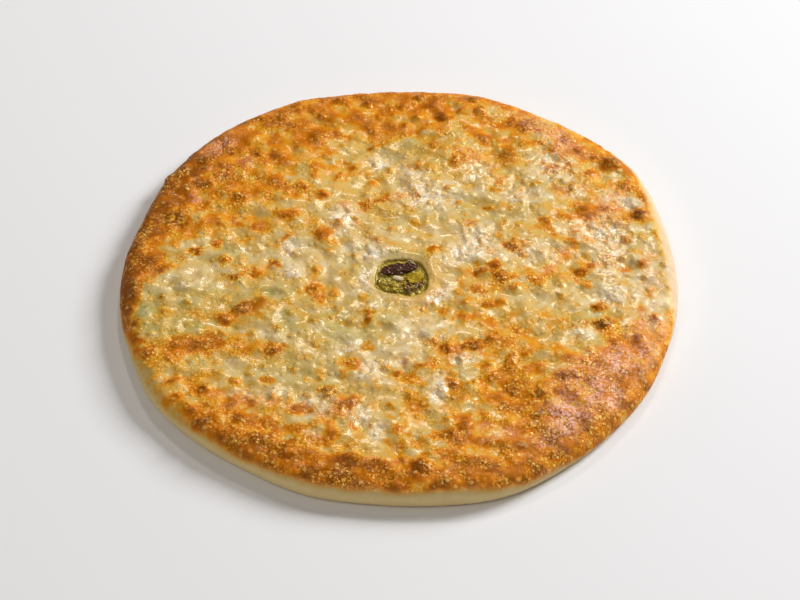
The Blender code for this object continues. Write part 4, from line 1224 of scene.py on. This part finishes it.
def filling_height(x, y):
    """Height of the filling's showing surface."""
    height = np.full_like(x, FILLING_TOP)
    for px, py, lift, a, b, c, turn in FILLING_PIECES:
        out = across_oval(x, y, (px * MM, py * MM, a * MM, b * MM, turn))
        top = FILLING_TOP + (lift + c * np.sqrt(np.clip(1 - out**2, 0, 1))) * MM
        height = np.where(out < 1, np.maximum(height, top), height)
    off, around = from_vent(x, y)
    climb = np.clip(1 + off / (2.4 * MM), 0, 1) ** 1.5
    nearer = 0.55 + 0.45 * np.cos(around - math.radians(220))
    grainy = 0.16 * MM * swell(x, y, 1.8 * MM, 501) + 0.10 * MM * swell(x, y, 0.9 * MM, 502)
    return height + grainy + 1.5 * MM * climb * nearer


def fine_filling(look):
    """The filling's uneven top in rings, with a wall and a floor below it."""
    x = [np.array([VENT_X])]
    y = [np.array([VENT_Y])]
    starts = []
    total = 1
    for ring in range(1, FILLING_RINGS + 1):
        count = min(6 * ring, 180)
        turns = np.arange(count) * (2 * math.pi / count)
        edge = waved_radius(turns, VENT_RADIUS, VENT_WAVES) + torn(turns) - FILLING_GAP
        reach = edge * ring / FILLING_RINGS
        x.append(VENT_X + reach * np.cos(turns))
        y.append(VENT_Y + reach * np.sin(turns))
        starts.append((total, count))
        total += count
    x = np.concatenate(x)
    y = np.concatenate(y)
    faces = [(0, 1 + i, 1 + (i + 1) % 6) for i in range(6)]
    for (first, count), (second, number) in zip(starts, starts[1:]):
        zip_rows(faces, second, number, first, count, 0.0, 0.0)
    first, count = starts[-1]
    low = np.full(count, VENT_FLOOR + GAP)
    for i in range(count):
        j = (i + 1) % count
        faces.append((first + i, total + i, total + j))
        faces.append((first + i, total + j, first + j))
    for i in range(count):
        faces.append((total + count, total + (i + 1) % count, total + i))
    top = np.stack([x, y, filling_height(x, y)], 1)
    foot = np.stack([x[first:], y[first:], low], 1)
    points = np.concatenate([top, foot, [[VENT_X, VENT_Y, VENT_FLOOR + GAP]]])
    make_piece("filling_mass", points, faces, look, ("filling",))


def surface_at(x, y):
    return float(filling_height(np.array([x]), np.array([y]))[0])


def sheet(tops, columns, lines, thick):
    """A thin sheet through a grid of places, as (points, faces)."""
    count = len(tops)
    points = [Vector((x, y, z + thick / 2)) for x, y, z in tops]
    points += [Vector((x, y, z - thick / 2)) for x, y, z in tops]
    faces = []
    for i in range(columns):
        for j in range(lines):
            a = i * (lines + 1) + j
            b = a + lines + 1
            faces.append((a, b, b + 1, a + 1))
            faces.append((count + a, count + a + 1, count + b + 1, count + b))
    border = [i * (lines + 1) for i in range(columns + 1)]
    border += [columns * (lines + 1) + j for j in range(1, lines + 1)]
    border += [i * (lines + 1) + lines for i in range(columns - 1, -1, -1)]
    border += [j for j in range(lines - 1, 0, -1)]
    for a, b in zip(border, border[1:] + border[:1]):
        faces.append((b, a, count + a, count + b))
    return points, faces


def fitted(body, box):
    """A body scaled and moved to sit just within a box."""
    low, high = (np.array(tuple(corner), float) for corner in box)
    size = body.max(0) - body.min(0)
    centre = (body.max(0) + body.min(0)) / 2
    return (body - centre) * ((high - low) / size) * WITHIN_BOX + (high + low) / 2


def flake(dice, long, wide, thick, curl):
    """A small thin curled flake, as (points, faces), flat on z = 0 at its middle."""
    columns = 5
    lines = 4
    tops = []
    bend = dice.uniform(-1, 1)
    for i in range(columns + 1):
        for j in range(lines + 1):
            u = 2 * i / columns - 1
            v = 2 * j / lines - 1
            edge = math.atan2(v, u)
            torn_by = 1 + 0.20 * math.sin(3 * edge + 5 * bend) + 0.14 * math.sin(5 * edge - 3 * bend)
            px = u * math.sqrt(1 - v * v / 2.4) * long * torn_by
            py = v * math.sqrt(1 - u * u / 2.4) * wide * torn_by
            pz = curl * (u * u - 0.4 + 0.5 * bend * v * u + 0.3 * math.sin(3 * v + bend))
            tops.append((px, py, pz))
    return sheet(tops, columns, lines, thick)


def scatter(name, look, seed, number, make, keep_off):
    """Many small bits laid on the filling, joined into one piece."""
    dice = random.Random(seed)
    all_points = []
    all_faces = []
    placed = 0
    while placed < number:
        reach = (VENT_RADIUS - BITS_OFF_WALL) * math.sqrt(dice.random())
        angle = dice.uniform(0, 2 * math.pi)
        x = VENT_X + reach * math.cos(angle)
        y = VENT_Y + reach * math.sin(angle)
        if keep_off(x / MM, y / MM, dice):
            continue
        placed += 1
        points, faces = make(dice)
        tilt = Matrix.Rotation(dice.uniform(0, 2 * math.pi), 3, "Z")
        tilt = tilt @ Matrix.Rotation(dice.uniform(-0.35, 0.35), 3, "X")
        base = surface_at(x, y)
        start = len(all_points)
        for p in points:
            q = tilt @ p
            all_points.append((x + q.x, y + q.y, base + BITS_LIFT + q.z))
        all_faces += [tuple(start + i for i in face) for face in faces]
    make_piece(name, all_points, all_faces, look, ())


def dark_piece(look):
    """The dark folded leaf: a smooth lump with folds on its upper side."""
    _, _, long, wide, tall, turn = DARK_LEAF
    points, faces = lump((long * MM, wide * MM, tall * MM), turn, 71, rough=0.0, rounds=6)
    x, y, z = np.array([tuple(p) for p in points]).T
    folds = 0.42 * MM * (1 - 2 * np.abs(swell(x * 0.6, y, 4.6 * MM, 511)).clip(0, 1))
    folds += 0.12 * MM * (1 - 2 * np.abs(swell(x, y, 2.0 * MM, 512)).clip(0, 1))
    z = z + np.where(z > 0, folds * np.clip(z / (0.5 * MM), 0, 1), 0)
    stray_x = 0.4 * MM * swell(x, y, 5.0 * MM, 513)
    stray_y = 0.4 * MM * swell(x, y, 5.0 * MM, 514)
    body = fitted(np.stack([x + stray_x, y + stray_y, z], 1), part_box("dark_piece"))
    make_piece("dark_leaf_fold", body, faces, look, ("dark_piece",))


def cheese_piece(look):
    """The small white piece: a lump with a crumbly surface."""
    _, _, long, wide, tall, turn = CHEESE
    points, faces = lump((long * MM, wide * MM, tall * MM), turn, 83, rough=0.0, rounds=5)
    body = np.array([tuple(p) for p in points])
    crumbly = 1 + 0.10 * swell(body[:, 0], body[:, 1], 1.6 * MM, 521)
    body = fitted(body * crumbly[:, None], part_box("cheese_piece"))
    make_piece("cheese_crumb", body, faces, look, ("cheese_piece",))


def leaf_piece(look):
    """The yellow-green scrap: a thin wavy leaf at the height of the part's own."""
    _, _, half_long, half_wide, _, turn = GREEN_LEAF
    columns = 40
    lines = 30
    long = 2 * half_long * MM
    wide = 2 * half_wide * MM
    tops = []
    for i in range(columns + 1):
        for j in range(lines + 1):
            u = 2 * i / columns - 1
            v = 2 * j / lines - 1
            round_x = u * math.sqrt(1 - v * v / 2.6)
            round_y = v * math.sqrt(1 - u * u / 2.3)
            wave = 0.35 * math.sin(2.4 * u + 1.1 * v) + 0.22 * math.sin(4.6 * v - 1.4 * u)
            wave += 0.10 * math.sin(11 * u + 3 * v) * math.cos(9 * v)
            edge = math.atan2(v, u)
            torn_by = 1 + 0.05 * math.sin(3 * edge + 1) + 0.05 * math.sin(7 * edge) * math.hypot(u, v)
            tops.append((round_x * torn_by * long / 2, round_y * torn_by * wide / 2, wave * MM))
    points, faces = sheet(tops, columns, lines, 0.5 * MM)
    put = Matrix.Rotation(math.radians(turn), 3, "Z")
    body = np.array([tuple(put @ point) for point in points])
    low, high = (np.array(tuple(corner), float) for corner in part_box("leaf_piece"))
    centre = (body.max(0) + body.min(0)) / 2
    body = body - centre + (high + low) / 2
    make_piece("leaf_scrap", body, faces, look, ("leaf_piece",))


def strand(look):
    """A thin pale stem that lies near the far wall of the vent."""
    points = []
    faces = []
    for index, place in enumerate(STEM_PATH):
        radius = (0.34 - 0.05 * abs(index - len(STEM_PATH) // 2)) * MM
        after = STEM_PATH[min(index + 1, len(STEM_PATH) - 1)]
        ahead = Vector(after) - Vector(STEM_PATH[max(index - 1, 0)])
        across = ahead.cross(Vector((0, 0, 1))).normalized()
        upward = across.cross(ahead).normalized()
        for corner in range(STEM_SIDES):
            a = 2 * math.pi * corner / STEM_SIDES
            points.append(Vector(place) * MM + radius * (math.cos(a) * across + math.sin(a) * upward))
    for index in range(len(STEM_PATH) - 1):
        for corner in range(STEM_SIDES):
            a = index * STEM_SIDES + corner
            b = index * STEM_SIDES + (corner + 1) % STEM_SIDES
            faces.append((a, a + STEM_SIDES, b + STEM_SIDES, b))
    faces.append(tuple(range(STEM_SIDES)))
    faces.append(tuple(range(len(points) - 1, len(points) - 1 - STEM_SIDES, -1)))
    make_piece("pale_stem", points, faces, look, ())


def within(x, y, oval, share=1.0):
    """True inside an oval, in millimetres."""
    return across_oval(x, y, oval) < share


def covered(x, y):
    """True under the three larger pieces."""
    for px, py, long, wide, _, turn in (DARK_LEAF, GREEN_LEAF, CHEESE):
        if within(x, y, (px, py, long, wide, turn), 0.92):
            return True
    return False


# Chance keeps most greens off the near right of the filling, where the brown crumbs lie, and
# lets a few of those lie at the upper left.
def not_greens(x, y, dice):
    return covered(x, y) or (within(x, y, BROWN_HEAP) and dice.random() < 0.8)


def not_brown(x, y, dice):
    browner = within(x, y, BROWN_HEAP)
    return covered(x, y) or not (browner or (within(x, y, UPPER_LEFT) and dice.random() < 0.3))


def not_curds(x, y, dice):
    return covered(x, y)


def chopped_flake(dice):
    long = dice.uniform(0.9, 2.3) * MM
    return flake(dice, long, long * dice.uniform(0.4, 0.8), 0.25 * MM, 0.45 * MM)


def crumb(dice):
    size = dice.uniform(0.45, 0.95) * MM
    shape = (size, size * dice.uniform(0.7, 1.0), size * dice.uniform(0.6, 0.9))
    return lump(shape, 0, dice.randrange(10**6), 0.26, 2)


def build_vent():
    fine_filling(filling_look())
    dark = plain_look(
        "wilted_dark_leaf",
        ((0.3, (40, 10, 2)), (0.5, (66, 22, 8)), (0.7, (112, 58, 32))),
        size=2.2 * MM, roughness=0.4, seed=31.0, bump=0.2, coat=0.2,
    )
    green = plain_look(
        "green_leaf",
        ((0.3, (132, 106, 4)), (0.5, (174, 145, 8)), (0.7, (202, 178, 46))),
        size=2.2 * MM, roughness=0.42, seed=33.0, bump=0.6, coat=0.15,
    )
    chopped = plain_look(
        "chopped_green",
        ((0.3, (124, 102, 10)), (0.45, (172, 148, 30)), (0.6, (208, 188, 84)), (0.75, (232, 218, 150))),
        size=2.2 * MM, roughness=0.42, seed=35.0, bump=0.4, coat=0.25,
    )
    cheese = plain_look(
        "soft_cheese",
        ((0.3, (206, 184, 140)), (0.6, (232, 214, 178))),
        size=2 * MM, roughness=0.45, seed=37.0, bump=0.4, coat=0.2,
    )
    meaty = plain_look(
        "brown_crumb",
        ((0.3, (64, 38, 8)), (0.5, (118, 82, 26)), (0.7, (196, 154, 84))),
        size=1.4 * MM, roughness=0.4, seed=39.0, bump=0.5, coat=0.35,
    )
    dark_piece(dark)
    leaf_piece(green)
    cheese_piece(cheese)
    strand(cheese)
    scatter("chopped_greens", chopped, 61, 74, chopped_flake, not_greens)
    scatter("brown_crumbs", meaty, 62, 124, crumb, not_brown)
    scatter("cheese_crumbs", cheese, 63, 20, crumb, not_curds)


# ---------------------------------------------------------------- floor, light and camera

LOOK_AT = Vector((-0.0001, -0.0062, 0.0014))
CAMERA_TILT = 47.0
CAMERA_AWAY = 2.0
CAMERA_LENS = 153.45

# Square lamps that shine at the middle of the pie: name, place, width, power and colour.
LAMPS = (
    ("key", (2.2, 1.45, 1.5), 1.1, 108.0, (0.99, 0.99, 1.0)),
    ("sheen", (0.2, 1.62, 1.9), 0.30, 8.5, (1.0, 0.91, 0.84)),
    ("front", (-1.2, -1.5, 2.4), 2.0, 22.5, (1.0, 0.94, 0.88)),
)
WORLD_LIGHT = (1.0, 0.90, 0.78, 1.0)
WORLD_STRENGTH = 0.13

# The floor: half its width, and how far below the pie it lies.
FLOOR_HALF = 3.0
FLOOR_DROP = 0.0002


def build_floor():
    corners = ((-1, -1), (1, -1), (1, 1), (-1, 1))
    floor_mesh = bpy.data.meshes.new("floor")
    floor_mesh.from_pydata(
        [(x * FLOOR_HALF, y * FLOOR_HALF, -FLOOR_DROP) for x, y in corners], [], [(0, 1, 2, 3)]
    )
    floor = bpy.data.objects.new("floor", floor_mesh)
    bpy.context.scene.collection.objects.link(floor)
    floor_mesh.materials.append(Look("floor_white").finish(linear(239, 241, 244), 0.7))


def aim(name, data, place, ahead):
    """Puts a lamp or a camera at a place, looking ahead."""
    thing = bpy.data.objects.new(name, data)
    thing.location = place
    thing.rotation_mode = "QUATERNION"
    thing.rotation_quaternion = ahead.to_track_quat("-Z", "Y")
    bpy.context.scene.collection.objects.link(thing)
    return thing


def build_lights():
    for name, place, size, power, colour in LAMPS:
        data = bpy.data.lights.new(name, "AREA")
        data.shape = "SQUARE"
        data.size = size
        data.energy = power
        data.color = colour
        aim(name, data, place, -Vector(place))
    world = bpy.data.worlds.new("studio")
    world.use_nodes = True
    world.node_tree.nodes["Background"].inputs["Color"].default_value = WORLD_LIGHT
    world.node_tree.nodes["Background"].inputs["Strength"].default_value = WORLD_STRENGTH
    bpy.context.scene.world = world


def build_camera():
    data = bpy.data.cameras.new("camera")
    data.lens = CAMERA_LENS
    data.sensor_width = 36.0
    data.clip_start = 0.05
    data.clip_end = 20.0
    tilt = math.radians(CAMERA_TILT)
    ahead = Vector((0, math.cos(tilt), -math.sin(tilt)))
    bpy.context.scene.camera = aim("camera", data, LOOK_AT - CAMERA_AWAY * ahead, ahead)
    bpy.context.scene.view_settings.view_transform = "Standard"
    bpy.context.scene.view_settings.look = "None"


fine_crust(crust_look())
build_vent()
build_floor()
build_lights()
build_camera()
